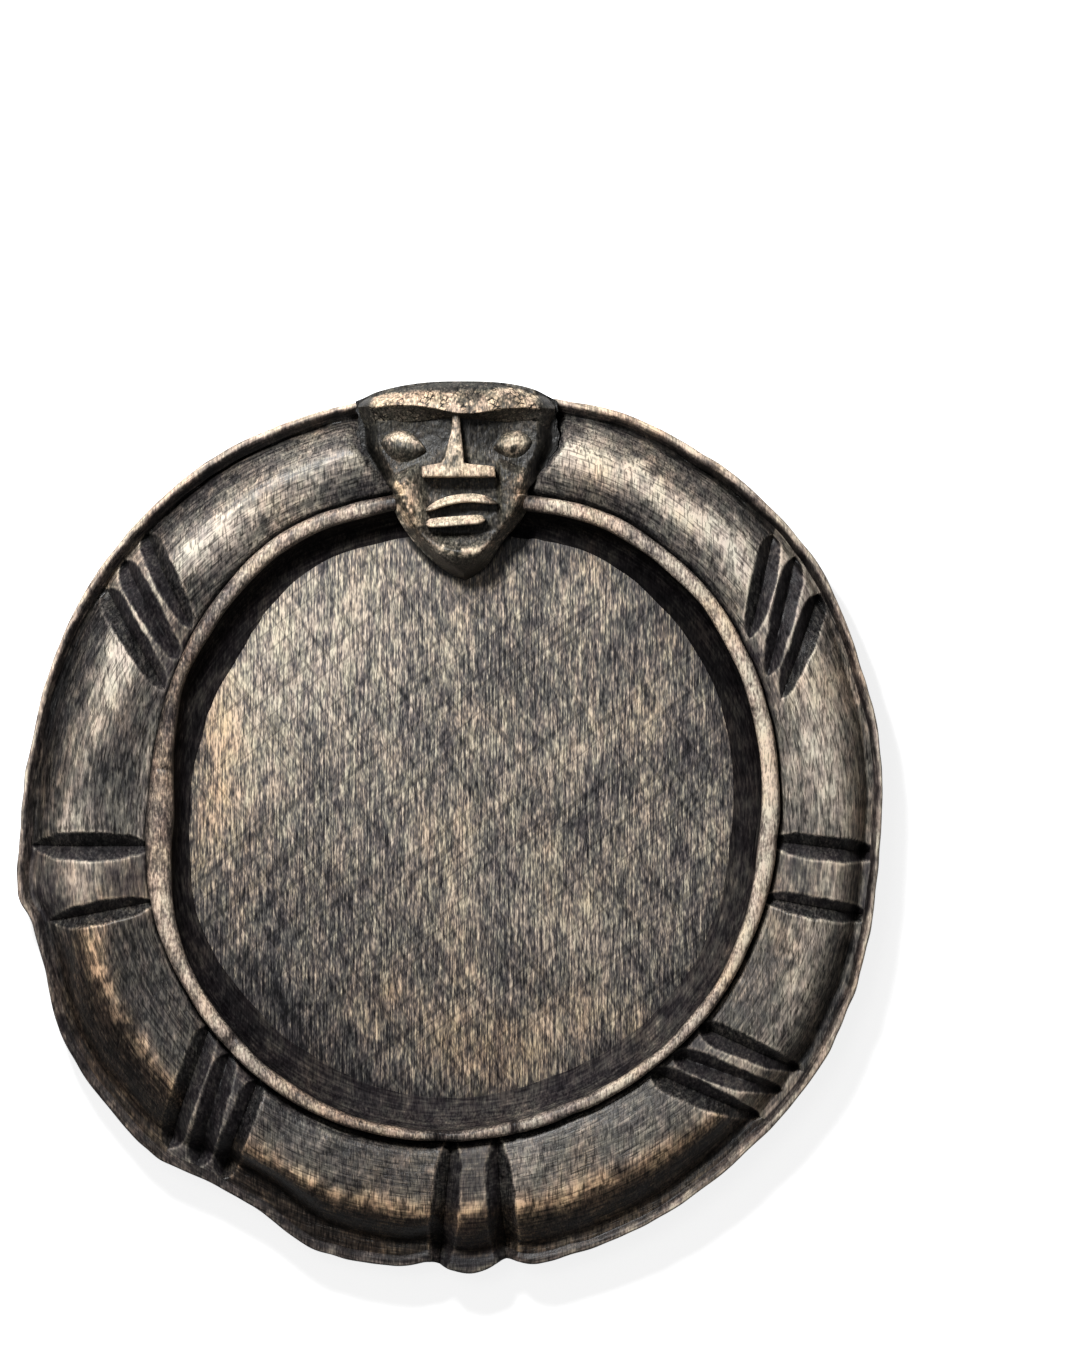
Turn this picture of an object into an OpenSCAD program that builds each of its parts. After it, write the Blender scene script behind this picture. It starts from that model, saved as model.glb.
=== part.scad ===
// Round divination tray with a sunken well, a swelling rim cut with groove bands, and a carved head.
// The underside lies on z = 0, the outer edge is centred on the z axis, and the head is towards +y.

/* [Board] */
// Thickness of the board under the well
board_t = 12; // [8:0.5:18]
// How far the flat underside stands in from the outer edge
base_inset = 15; // [4:1:30]

/* [Well] */
// How far the well lies right of the tray's centre
well_x = 3.5; // [-4:0.5:5]
// How far the well lies towards the head from the tray's centre
well_y = 5.5; // [-4:0.5:6.5]
// Diameter of the flat floor
floor_d = 195; // [170:1:230]
// Radius of the hollow curve between floor and wall
cove_r = 8.5; // [5:0.5:9.5]
// Height of the wall above the floor
wall_h = 10; // [9:0.5:14]
// Width of the bead on top of the wall
bead_w = 6.3; // [4:0.1:7.8]
// Height of the bead above the wall
bead_h = 4; // [4:0.1:7]

/* [Rim] */
// How far the rim's crest circle lies right of the tray's centre
rim_x = 2; // [-2:0.5:3]
// How far the rim's crest circle lies towards the head
rim_y = 2.5; // [-2:0.5:3.5]
// Width of the rim from the bead to the crest
inner_run = 19.5; // [16:0.5:24]
// Width of the rim from the crest to the valley
outer_run = 12.7; // [10:0.1:16]
// Mean width of the flat valley inside the lip
valley_w = 3; // [3:0.1:6]
// Height of the crest above the board
crest_h = 15; // [13:0.5:20]
// Height of the rim where it meets the bead
shoulder_h = 10.5; // [9:0.1:12]
// Height of the valley above the board
valley_h = 5; // [3:0.1:7]
// Radius of the swell between bead and crest
inner_swell = 60; // [40:1:120]
// Radius of the swell between crest and valley
outer_swell = 30; // [20:1:80]
// Width of the outer lip
lip_w = 5; // [4:0.1:8]
// Height of the outer lip above the board
lip_h = 8; // [6:0.1:10]

/* [Grooves] */
// Width of a groove where it crosses the crest
groove_w = 9.4; // [6:0.1:10]
// Width of a groove along its bottom
groove_root = 0.6; // [0.3:0.1:1.5]
// Depth of a groove below the crest
groove_depth = 8.5; // [6:0.1:9.5]
// Fall of the groove's bottom towards the outer edge, in degrees
groove_fall = 4; // [1:0.5:7]
// Distance between the grooves of a band of three
pitch_three = 10; // [8:0.1:12]
// Distance between the grooves of a band of two
pitch_two = 21; // [16:0.1:26]

/* [Band places] */
// Direction of the upper right band, in degrees from +x
upper_right_at = 34; // [30:0.5:38]
// Turn of its grooves from the radius, in degrees
upper_right_turn = 37; // [20:0.5:38]
// Direction of the right band, in degrees from +x
right_at = -8; // [-12:0.5:-4]
// Turn of its grooves from the radius, in degrees
right_turn = -3; // [-10:0.5:10]
// Direction of the lower right band, in degrees from +x
lower_right_at = -42; // [-46:0.5:-38]
// Turn of its grooves from the radius, in degrees
lower_right_turn = 24; // [10:0.5:30]
// Direction of the bottom band, in degrees from +x
bottom_at = -87.5; // [-92:0.5:-84]
// Turn of its grooves from the radius, in degrees
bottom_turn = -2.5; // [-10:0.5:10]
// Direction of the lower left band, in degrees from +x
lower_left_at = -131; // [-135:0.5:-127]
// Turn of its grooves from the radius, in degrees
lower_left_turn = 24; // [10:0.5:30]
// Direction of the left band, in degrees from +x
left_at = -171.5; // [-175:0.5:-168]
// Turn of its grooves from the radius, in degrees
left_turn = -3; // [-10:0.5:10]
// Direction of the upper left band, in degrees from +x
upper_left_at = -216; // [-220:0.5:-212]
// Turn of its grooves from the radius, in degrees
upper_left_turn = -29; // [-36:0.5:-20]

/* [Head] */
// How far the head's middle line lies right of the tray's centre
head_x = 3.5; // [0:0.5:6]
// How far the crown stands out past the tray's edge
head_proud = 2.8; // [1:0.1:6]
// Length of the head from crown to chin
head_len = 68; // [62:0.5:76]
// Width of the head over the temples
head_w = 70; // [62:0.5:78]
// Rise of the crown's curve above its corners
crown_rise = 6.5; // [4:0.1:9]
// Length of the temples below the corners
temple_len = 20; // [16:0.5:24]
// Length of the taper from temples to jaw
taper_len = 11; // [8:0.5:14]
// Width of the jaw
jaw_w = 48; // [44:0.5:54]
// Radius of the jaw's curve on each side
jaw_round = 50; // [40:1:70]
// Radius of the chin's curve
chin_round = 20; // [16:1:30]
// How far below the chin the jaw's two curves would meet
chin_point = 4; // [2:0.1:6]
// Height of the face's ground above the board
face_h = 16; // [13:0.1:19]
// Height of the cheeks and chin above the face's ground
cheek_h = 5; // [3:0.1:7]
// Distance from the crown to the top of the cheeks
cheek_drop = 31; // [29:0.1:34]
// Radius of the dome that the cheeks and chin follow
cheek_dome = 60; // [45:1:90]
// Width of the hollow round the mouth
mouth_w = 27; // [25:0.1:32]

/* [Features] */
// Distance from the crown to the brow's lower edge at the nose
brow_len = 11.6; // [9:0.1:14]
// Height of the brow above the face's ground, at its lower edge
brow_h = 8; // [5:0.1:10]
// Height of the brow above the face's ground, at the crown
crown_h = 1.5; // [1:0.1:4]
// Radius of the brow's curve across the forehead
brow_dome = 100; // [80:1:200]
// Radius of the arch over each eye
arch_round = 21; // [16:0.5:30]
// Height of the arch over each eye
arch_rise = 3.7; // [2:0.1:5]
// Distance between the middles of the eyes
eye_gap = 37; // [34:0.5:40]
// Distance from the crown to the middle of the eyes
eye_drop = 22.5; // [21:0.1:24]
// Length of an eye
eye_len = 15.5; // [12:0.1:18]
// Width of an eye
eye_w = 10.5; // [7:0.1:12]
// Height of an eye above the face's ground
eye_h = 3.6; // [2:0.1:5]
// Distance from the crown to the underside of the nose
nose_drop = 33; // [30:0.1:35]
// Width of the nose at its base
nose_w = 25.5; // [20:0.1:26.5]
// Length of the broad base of the nose
nose_base_len = 5; // [3:0.1:6]
// Width of the nose ridge at the brow
ridge_top_w = 3.5; // [2:0.1:6]
// Width of the nose ridge at the base
ridge_base_w = 7; // [5:0.1:12]
// Height of the nose above the face's ground, at its base
nose_h = 8.5; // [5:0.1:10]
// Height of the nose above the face's ground, at the brow
nose_root_h = 4; // [2:0.1:7]
// Distance from the crown to the middle of the upper lip
upper_lip_drop = 40.3; // [39:0.1:42]
// Distance from the crown to the middle of the lower lip
lower_lip_drop = 47.8; // [46:0.1:49.5]
// Width of the upper lip
upper_lip_w = 23.5; // [18:0.1:25]
// Width of the lower lip
lower_lip_w = 20.5; // [16:0.1:25]
// Thickness of each lip, from crown to chin
lip_bar = 3.6; // [2:0.1:5]
// Radius of each lip's arched edge
lip_arch = 40; // [30:1:80]
// Height of the lips above the hollow round the mouth
mouth_h = 5; // [3:0.1:7]

/* [Hidden] */
$fn = 180;

// Radii from the well outwards
floor_r = floor_d / 2;
wall_r = floor_r + cove_r;
bead_r = wall_r + bead_w;
crest_r = bead_r + inner_run;
foot_r = crest_r + outer_run;
lip_r = foot_r + valley_w;
tray_r = lip_r + lip_w;

// Heights above the underside
shoulder_z = board_t + shoulder_h;
crest_z = board_t + crest_h;
valley_z = board_t + valley_h;
face_z = board_t + face_h;

// Places along the head's middle line
crown_y = tray_r + head_proud;
corner_y = crown_y - crown_rise;
temple_y = corner_y - temple_len;
jaw_y = temple_y - taper_len;
chin_y = crown_y - head_len;
brow_y = crown_y - brow_len;
eye_y = crown_y - eye_drop;
nose_y = crown_y - nose_drop;
nose_base_y = nose_y + nose_base_len;

// Lengths that only have to reach past the tray
far = 2 * tray_r;
tall = 2 * (board_t + face_h + brow_h);

// Bands clockwise from the head: direction, turn from the radius, number of grooves, pitch
BANDS = [
    [upper_right_at, upper_right_turn, 3, pitch_three],
    [right_at, right_turn, 2, pitch_two],
    [lower_right_at, lower_right_turn, 3, pitch_three],
    [bottom_at, bottom_turn, 2, pitch_two],
    [lower_left_at, lower_left_turn, 3, pitch_three],
    [left_at, left_turn, 2, pitch_two],
    [upper_left_at, upper_left_turn, 3, pitch_three],
];
BOTTOM = 3;

dyed = "#4a4540";
worn = "#8c7a68";
dark = "#35312e";

// Centre of a circle of radius r through p and q, on the right of the way from p to q
function arc_centre(p, q, r) =
    let (half = (q - p) / 2, reach = sqrt(r * r - half * half))
    p + half + [half.y, -half.x] / norm(half) * reach;

// Radius of the arc with that half chord and that rise
function arc_radius(half, rise) = (half * half + rise * rise) / (2 * rise);

function polar(r, a) = [r * cos(a), r * sin(a)];

// A groove's line: where it crosses the crest circle, and the direction it runs out in
function groove_line(band, k) =
    let (step = band[3] / (crest_r * cos(band[1])) * 180 / PI)
    let (at = band[0] - (k - (band[2] - 1) / 2) * step)
    [[rim_x, rim_y] + polar(crest_r, at), band[0] + band[1]];
function first_line(band) = groove_line(band, 0);
function last_line(band) = groove_line(band, band[2] - 1);

// The head's middle line, as a line that runs out from the tray's centre
head_line = [[head_x, 0], 90];

// Everything on one side of a line, counter-clockwise of it or clockwise
module counter_clockwise_of(line)
    translate(line[0]) rotate(line[1]) translate([-far, 0]) square([2 * far, far]);
module clockwise_of(line)
    translate(line[0]) rotate(line[1]) translate([-far, -far]) square([2 * far, far]);

// Everything on the side of the rim that a direction points to
module towards(direction)
    translate([rim_x, rim_y]) rotate(direction) translate([0, -far]) square([far, 2 * far]);

// The upright prism between two lines, on the side that a direction points to
module sector(from_line, to_line, direction)
    linear_extrude(tall)
        intersection() {
            clockwise_of(from_line);
            counter_clockwise_of(to_line);
            towards(direction);
        }

// One V groove with a narrow flat bottom that falls along its line
module groove(line)
    translate([line[0].x, line[0].y, crest_z - groove_depth])
        rotate([0, groove_fall, line[1]])
            rotate([90, 0, 90])
                linear_extrude(tray_r, center = true)
                    polygon([
                        [-groove_root / 2, 0], [groove_root / 2, 0],
                        [groove_w - groove_root / 2, 2 * groove_depth],
                        [groove_root / 2 - groove_w, 2 * groove_depth],
                    ]);

module grooves(band)
    for (k = [0 : band[2] - 1])
        groove(groove_line(band, k));

// An upright bar with a round top, standing on y = 0 between x = 0 and x = width
module round_bar(width, height)
    intersection() {
        union() {
            square([width, height - width / 2]);
            translate([width / 2, height - width / 2]) circle(width / 2);
        }
        square([width, height]);
    }

// Section of the rim from the bead outwards
module rim_section() {
    inner = arc_centre([bead_r, shoulder_z], [crest_r, crest_z], inner_swell);
    outer = arc_centre([crest_r, crest_z], [foot_r, valley_z], outer_swell);
    intersection() {
        translate(inner) circle(inner_swell);
        translate(outer) circle(outer_swell);
        translate([crest_r - 2 * inner_run, board_t]) square([far, tall]);
    }
    translate([crest_r, board_t]) square([foot_r, valley_h]);
}

// The whole rim, from the bead to the lip, before it is divided
module rim_ring()
    intersection() {
        difference() {
            translate([rim_x, rim_y]) rotate_extrude() rim_section();
            translate([well_x, well_y]) cylinder(h = tall, r = bead_r);
        }
        cylinder(h = tall, r = lip_r);
    }

// The whole outer lip, before it is divided
module lip_ring()
    translate([0, 0, board_t])
        rotate_extrude()
            translate([lip_r, 0]) round_bar(lip_w, lip_h);

// Outline of the head seen from above: skull with a curved crown, and a jaw that comes to a chin
module jaw_outline() {
    centre = arc_centre([jaw_w / 2, jaw_y], [0, chin_y - chin_point], jaw_round);
    translate([head_x, 0])
        intersection() {
            translate(centre) circle(jaw_round);
            translate([-centre.x, centre.y]) circle(jaw_round);
            union() {
                translate([0, chin_y + chin_round]) circle(chin_round);
                translate([-jaw_w, chin_y + chin_point]) square([2 * jaw_w, jaw_y - chin_y - chin_point]);
            }
        }
}

module skull_outline() {
    crown_r = arc_radius(head_w / 2, crown_rise);
    translate([head_x, 0])
        intersection() {
            translate([0, crown_y - crown_r]) circle(crown_r);
            polygon([
                [-jaw_w / 2, jaw_y], [jaw_w / 2, jaw_y], [head_w / 2, temple_y],
                [head_w / 2, crown_y], [-head_w / 2, crown_y], [-head_w / 2, temple_y],
            ]);
        }
}

module head_outline() {
    skull_outline();
    jaw_outline();
}

// The space that the head takes up, which the rim, bead, wall and lip stop at.
// Between the temples it runs on past the crown, so that the lip ends square at the head's sides.
module head_space()
    translate([0, 0, board_t])
        linear_extrude(tall) {
            head_outline();
            translate([head_x - head_w / 2, temple_y]) square([head_w, far]);
        }

module base_board() {
    base_r = tray_r - base_inset;
    color(dyed)
        rotate_extrude()
            polygon([[0, 0], [base_r, 0], [tray_r, board_t], [0, board_t]]);
}

module cove_wall()
    color(dark)
        difference() {
            translate([well_x, well_y, board_t])
                rotate_extrude()
                    difference() {
                        translate([floor_r, 0]) square([bead_r - floor_r, wall_h]);
                        translate([floor_r, cove_r]) circle(cove_r);
                        translate([floor_r - cove_r, cove_r]) square([2 * cove_r, wall_h]);
                    }
            head_space();
        }

module inner_bead()
    color(worn)
        difference() {
            translate([well_x, well_y, board_t + wall_h])
                rotate_extrude()
                    translate([wall_r, 0]) round_bar(bead_w, bead_h);
            head_space();
        }

module lip_half(side)
    color(worn)
        difference() {
            intersection() {
                lip_ring();
                linear_extrude(tall)
                    if (side == "right") clockwise_of(head_line);
                    else counter_clockwise_of(head_line);
            }
            band_space(BANDS[BOTTOM]);
            grooves(BANDS[BOTTOM]);
            head_space();
        }

module lip_right() lip_half("right");
module lip_left() lip_half("left");

module rim_panel(number) {
    before = number == 1 ? head_line : last_line(BANDS[number - 2]);
    after = number == 8 ? head_line : first_line(BANDS[number - 1]);
    before_at = number == 1 ? 90 : BANDS[number - 2][0];
    after_at = number == 8 ? -270 : BANDS[number - 1][0];
    color(dyed)
        difference() {
            intersection() {
                rim_ring();
                sector(before, after, (before_at + after_at) / 2);
            }
            if (number > 1) groove(before);
            if (number < 8) groove(after);
            head_space();
        }
}

// The space between a band's first and last groove
module band_space(band)
    sector(first_line(band), last_line(band), band[0] + band[1]);

module band(number)
    color(dark)
        difference() {
            intersection() {
                union() {
                    rim_ring();
                    if (number == BOTTOM) lip_ring();
                }
                band_space(BANDS[number]);
            }
            grooves(BANDS[number]);
        }

module band_upper_right() band(0);
module band_right() band(1);
module band_lower_right() band(2);
module band_bottom() band(BOTTOM);
module band_lower_left() band(4);
module band_left() band(5);
module band_upper_left() band(6);

// The cheeks and chin stand above the face's ground as a dome with a hollow round the mouth
module cheeks_and_chin()
    difference() {
        intersection() {
            translate([0, 0, face_z]) linear_extrude(cheek_h) head_outline();
            translate([head_x - head_w, 0, 0]) cube([2 * head_w, crown_y - cheek_drop, tall]);
            translate([head_x, (jaw_y + chin_y) / 2, face_z + cheek_h - cheek_dome]) sphere(cheek_dome);
        }
        translate([head_x - mouth_w / 2, crown_y - lower_lip_drop - lip_bar, face_z])
            cube([mouth_w, head_len, tall]);
    }

module head_block()
    color(dyed) {
        translate([0, 0, board_t]) linear_extrude(face_h) head_outline();
        cheeks_and_chin();
    }

module brow()
    color(worn)
        intersection() {
            translate([0, 0, face_z])
                linear_extrude(tall)
                    difference() {
                        intersection() {
                            skull_outline();
                            translate([head_x - head_w, brow_y]) square([2 * head_w, head_len]);
                        }
                        for (side = [-1, 1])
                            translate([head_x + side * eye_gap / 2, brow_y + arch_rise - arch_round])
                                circle(arch_round);
                    }
            translate([head_x - head_w, 0, face_z])
                rotate([90, 0, 90])
                    linear_extrude(2 * head_w)
                        polygon([[brow_y, 0], [crown_y, 0], [crown_y, crown_h], [brow_y, brow_h]]);
            translate([head_x, 0, face_z + brow_h - brow_dome])
                rotate([-90, 0, 0]) cylinder(h = far, r = brow_dome);
        }

module nose()
    color(worn)
        intersection() {
            translate([head_x, 0, face_z])
                linear_extrude(tall)
                    polygon([
                        [-nose_w / 2, nose_y], [nose_w / 2, nose_y],
                        [nose_w / 2, nose_base_y], [ridge_base_w / 2, nose_base_y],
                        [ridge_top_w / 2, brow_y], [-ridge_top_w / 2, brow_y],
                        [-ridge_base_w / 2, nose_base_y], [-nose_w / 2, nose_base_y],
                    ]);
            translate([head_x - head_w, 0, face_z])
                rotate([90, 0, 90])
                    linear_extrude(2 * head_w)
                        polygon([[nose_y, 0], [brow_y, 0], [brow_y, nose_root_h], [nose_y, nose_h]]);
        }

// A lens between two arcs, with its points on the x axis
module lens(length, width) {
    r = arc_radius(length / 2, width / 2);
    intersection() {
        translate([0, width / 2 - r]) circle(r);
        translate([0, r - width / 2]) circle(r);
    }
}

module eye(side) {
    dome_r = arc_radius(eye_len / 2, eye_h);
    color(dyed)
        translate([head_x + side * eye_gap / 2, eye_y, face_z])
            intersection() {
                linear_extrude(tall) lens(eye_len, eye_w);
                translate([0, 0, eye_h - dome_r]) sphere(dome_r);
            }
}

module eye_left() eye(-1);
module eye_right() eye(1);

// A bar with square ends and an arched edge towards the crown
module lip_shape(width)
    intersection() {
        translate([-width / 2, -lip_bar / 2]) square([width, lip_bar]);
        translate([0, lip_bar / 2 - lip_arch]) circle(lip_arch);
    }

module upper_lip()
    color(worn)
        translate([head_x, crown_y - upper_lip_drop, face_z])
            linear_extrude(mouth_h) lip_shape(upper_lip_w);

module lower_lip()
    color(worn)
        translate([head_x, crown_y - lower_lip_drop, face_z])
            linear_extrude(mouth_h) lip_shape(lower_lip_w);

base_board();
cove_wall();
inner_bead();
lip_right();
lip_left();
rim_panel(1);  // rim_panel_1
rim_panel(2);  // rim_panel_2
rim_panel(3);  // rim_panel_3
rim_panel(4);  // rim_panel_4
rim_panel(5);  // rim_panel_5
rim_panel(6);  // rim_panel_6
rim_panel(7);  // rim_panel_7
rim_panel(8);  // rim_panel_8
band_upper_right();
band_right();
band_lower_right();
band_bottom();
band_lower_left();
band_left();
band_upper_left();
head_block();
brow();
nose();
eye_left();
eye_right();
upper_lip();
lower_lip();
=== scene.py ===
import math

import bpy
import numpy as np
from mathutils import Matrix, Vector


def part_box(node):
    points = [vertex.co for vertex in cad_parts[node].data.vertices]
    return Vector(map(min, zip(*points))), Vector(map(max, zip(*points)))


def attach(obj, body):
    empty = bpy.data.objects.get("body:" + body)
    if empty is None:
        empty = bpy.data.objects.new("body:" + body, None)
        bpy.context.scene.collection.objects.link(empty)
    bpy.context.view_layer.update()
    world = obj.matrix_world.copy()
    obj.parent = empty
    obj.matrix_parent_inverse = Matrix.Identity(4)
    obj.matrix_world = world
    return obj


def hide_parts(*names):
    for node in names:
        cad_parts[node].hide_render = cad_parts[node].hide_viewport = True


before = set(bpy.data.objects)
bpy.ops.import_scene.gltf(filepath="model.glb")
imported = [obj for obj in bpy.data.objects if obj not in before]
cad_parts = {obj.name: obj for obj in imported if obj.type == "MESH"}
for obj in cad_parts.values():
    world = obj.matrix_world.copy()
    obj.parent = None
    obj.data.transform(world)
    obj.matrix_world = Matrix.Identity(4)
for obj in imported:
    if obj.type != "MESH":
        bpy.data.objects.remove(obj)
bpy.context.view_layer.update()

# Lengths are in millimetres until a mesh is made
MM = 0.001


def box_mm(node):
    """A solid's lowest and highest corners."""
    low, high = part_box(node)
    return np.array(low) / MM, np.array(high) / MM


# Sizes that the solids give
BOARD_HIGH = box_mm("base_board")[1]
BEAD_LOW, BEAD_HIGH = box_mm("inner_bead")
HEAD_LOW, HEAD_HIGH = box_mm("head_block")
BROW_LOW, BROW_HIGH = box_mm("brow")
TRAY_R = BOARD_HIGH[0]
FLOOR_Z = BOARD_HIGH[2]
BEAD_R = (BEAD_HIGH[0] - BEAD_LOW[0]) / 2
WELL = np.array([(BEAD_LOW[0] + BEAD_HIGH[0]) / 2, BEAD_LOW[1] + BEAD_R])
WALL_Z = BEAD_LOW[2]
BEAD_Z = BEAD_HIGH[2]
CREST_Z = box_mm("rim_panel_1")[1][2]
LIP_Z = box_mm("lip_left")[1][2]
HEAD_X = (HEAD_LOW[0] + HEAD_HIGH[0]) / 2
HEAD_W = HEAD_HIGH[0] - HEAD_LOW[0]
HEAD_LEN = HEAD_HIGH[1] - HEAD_LOW[1]
CROWN_Y = HEAD_HIGH[1]
FACE_Z = BROW_LOW[2]
BROW_Z = BROW_HIGH[2]
NOSE_Z = box_mm("nose")[1][2]
EYE_Z = box_mm("eye_left")[1][2]
MOUTH_Z = box_mm("upper_lip")[1][2]

# Sizes of the carving between those
GRID = 0.5
BOARD_COUNT = 300
SEAM_COUNT = 500
BEAD_W = 5.6
COVE_W = 9.3
CREST_CENTRE = np.array([2.4, 2.2])
CREST_R = 131.7
SHOULDER_Z = 21.8
VALLEY_Z = 17
VALLEY_DEPTH = 0.9
LINE_DEPTH = 1.3
LIP_W = 3.6
LIP_WIDTH_SWELLS = [(125, 24, 0.9), (50, 24, 0.6), (0, 20, -0.6), (272.5, 5, 1.6)]

# The bevel under the tray, step by step: distance in from the edge, and height
BEVEL_STEPS = [(0, 11.8), (1.2, 9.6), (4.5, 6), (9.5, 2.4), (13.2, 0.6), (15, 0)]

# Where the hand-cut outer edge turns: direction in degrees and distance from the middle
EDGE_TURNS = [
    (0, 149.5), (14, 152.5), (24, 154), (36, 158), (50, 158), (68, 157), (77, 154), (104, 152),
    (124, 153.5), (146, 151.5), (168, 148.5), (179, 149), (189, 152), (192, 148.5), (199, 148.5),
    (208, 153), (228, 153), (236, 147.5), (243, 147.5), (252, 153.5), (263.5, 152.4), (267.5, 149.8),
    (269.8, 152.4), (272.6, 154.2), (275.4, 152.6), (276.9, 149.6), (278, 150.4), (280.5, 153.4),
    (297, 153), (312, 151.5), (328, 152.5), (353, 149),
]
EDGE_ROUNDING = (-1.0, -0.5, 0, 0.5, 1.0)

# Rises round the tray or the well: direction and spread in degrees, and height
BEAD_SWELLS = [
    (46, 24, 4.0), (64, 10, 1.8), (122, 18, 3.2), (172, 22, -4.3), (242, 24, 2.6), (300, 25, -1.8),
    (345, 30, -2.3),
]
BEAD_WIDTH_SWELLS = [(155, 8, -1.2), (183, 15, 4.0), (262, 26, -1.6), (315, 28, -1.5), (352, 14, 1.0)]
COVE_SWELLS = [(42, 9, 1.1), (145, 16, 2.4), (176, 12, -4.2), (196, 14, -3.0), (245, 22, 1.8)]
BEAD_LINE_SWELLS = [(252, 28, 1.7), (175, 30, -0.7)]
LEDGE_W = 5.8
LEDGE_SWELLS = [(245, 26, 4.6), (318, 24, 2.0)]
# VALLEY_SWELLS also deepens the valley's painted shadow
VALLEY_SWELLS = [(50, 26, 2.0), (122, 22, 1.8), (160, 18, 0.9), (240, 36, -0.9), (290, 18, -0.6)]
LIP_SWELLS = [(235, 42, -2.8), (285, 26, -1.2)]

# The rim's pale band: how far outside the crest it lies and how far it spreads, by direction
PALE_SHIFT = [(57, 20, 3.0), (120, 18, 0.4)]
PALE_SPREAD = [(122, 16, 4.5), (16, 18, 4.5), (340, 16, 3.5), (168, 14, 1.5)]

# Between which directions the rim's low stretch, with its narrow line of wear, starts and ends
LOW_STARTS = (186, 204)
LOW_ENDS = (304, 328)

# Where wear, dye, warmth and painted light and shade are stronger or weaker: direction, spread and amount
# At 128 and 152 degrees the crest's extra wear is also a painted sheen
CREST_WEAR_AND_SHEEN = [(128, 10, 0.12), (152, 9, 0.12), (45, 14, 0.13), (70, 9, 0.14)]
PANEL_WEAR = [
    (121, 15, -0.2), (166, 13, -0.25), (187, 6, 0.1), (204, 14, -0.2), (250, 12, -0.12), (293, 17, 0.13),
    (340, 14, -0.1), (16, 15, 0.08), (60, 14, 0.05),
]
INNER_WEAR = [(0, 34, 0.38), (330, 16, 0.12), (168, 22, 0.44), (120, 18, 0.26), (57, 18, -0.02)]
OUTER_WEAR = [(120, 22, 0.06), (166, 16, -0.1), (57, 24, 0.04), (5, 26, 0.1)]
LOW_INNER_WEAR_AND_LIGHT = [(207, 13, 0.12), (248, 16, 0.18), (292, 22, 0.2)]
SLOPE_LESS_DYE_AND_SHADE = [(207, 14, 0.2)]
BEAD_WEAR = [(350, 55, 0.18), (164, 34, -0.33), (270, 9, -0.3)]
BEAD_WARMTH = [(162, 38, 0.2)]
COVE_LIT = [(300, 52, 1.0), (265, 28, 0.35), (45, 35, -0.6)]
FLOOR_SHADE_W = 8
FLOOR_SHADE_SWELLS = [(222, 30, 9), (38, 26, 4), (300, 28, 4)]
FLOOR_SHADE_GAPS = [(125, 42, 0.9), (280, 24, 0.5)]
LIP_WEAR = [
    (122, 24, 0.1), (202, 20, -0.42), (240, 32, -0.62), (278, 16, -0.26), (335, 30, 0.06), (5, 20, 0.06),
    (272.5, 3.2, 0.3),
]
LIP_PALE_SWELLS = [(60, 22, 0.24), (0, 26, 0.16), (315, 26, 0.26)]
CUT_WEAR = 0.12

# Spots of the rim that rubbing has left pale, with a painted sheen on them: direction and spread in
# degrees, distance outside the crest and spread in millimetres, amount
WEAR_AND_SHEEN_SPOTS = [(129, 7, -1, 4.5, 0.3), (153, 6, -4, 5, 0.36), (52, 12, 3, 3, 0.12)]

# Places on the floor, each with its middle and spread: a pit, a pale spot, the warm foot, the two shady
# places, worn less and with painted shade, the sunny one, worn more with a painted sheen, and the one
# with pale dashes
FLOOR_PIT = ((10, 74), (1.6, 1.0))
PALE_SPOT = ((-2.8, -51.6), (2.2, 2.6))
FOOT_SPOT = ((12, -75), (50, 22))
SHADY_SPOT = ((-52, -60), (34, 32))
CHIN_SPOT = ((14, 73), (30, 14))
SUNNY_SPOT = ((-55, 60), (38, 36))
DASHES_SPOT = ((-80, 24), (9, 34))

# Each groove's inner end, outer end and width, band by band and clockwise from the head
GROOVES = {
    "band_upper_right": [((103.5, 66.5), (112.5, 103.0), 9.6), ((109.9, 53.5), (120.3, 95.5), 9.6),
                         ((114.5, 45.8), (128.5, 82.3), 9.6)],
    "band_right": [((110.0, -3.2), (150.5, -8.1), 9.2), ((107.0, -22.7), (147.5, -30.0), 8.2)],
    "band_lower_right": [((86.0, -67.3), (122.0, -83.4), 9.4), ((77.0, -77.3), (115.7, -90.7), 9.4),
                         ((69.6, -83.3), (108.2, -99.8), 10.0)],
    "band_bottom": [((15.8, -104.5), (20.2, -157.0), 10.6), ((0.9, -105.0), (-4.4, -157.0), 10.4)],
    "band_lower_left": [((-66.5, -86.0), (-80.0, -120.5), 10.0),
                        ((-76.5, -77.0), (-88.3, -117.0), 10.2),
                        ((-83.0, -67.0), (-98.2, -110.5), 10.2)],
    "band_left": [((-101.5, -24.3), (-139.5, -31.5), 8.8), ((-103.0, -5.2), (-146.0, -5.2), 10.6)],
    "band_upper_left": [((-98.5, 49.0), (-119.8, 84.2), 10.0), ((-94.1, 59.5), (-113.7, 94.0), 9.8),
                        ((-89.2, 70.1), (-105.9, 103.3), 9.8)],
}
# How much of its width a band's groove keeps at its inner and outer end, and how blunt the ends are
GROOVE_ENDS = {
    "band_upper_right": (0.7, 1.0, 7.0),
    "band_right": (1.0, 1.0, 3.4),
    "band_lower_right": (1.0, 0.6, 8.0),
    "band_bottom": (1.0, 1.0, 3.0),
    "band_lower_left": (0.9, 0.95, 10.0),
    "band_left": (1.0, 1.0, 3.0),
    "band_upper_left": (0.7, 1.0, 9.0),
}
GROOVE_STEEP = 0.95
# How worn the narrow strips are that the grooves of a band leave between them
STRIP_WEAR = {
    "band_upper_right": 0.84, "band_lower_right": 0.64, "band_lower_left": 0.4, "band_upper_left": 0.55,
}

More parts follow.
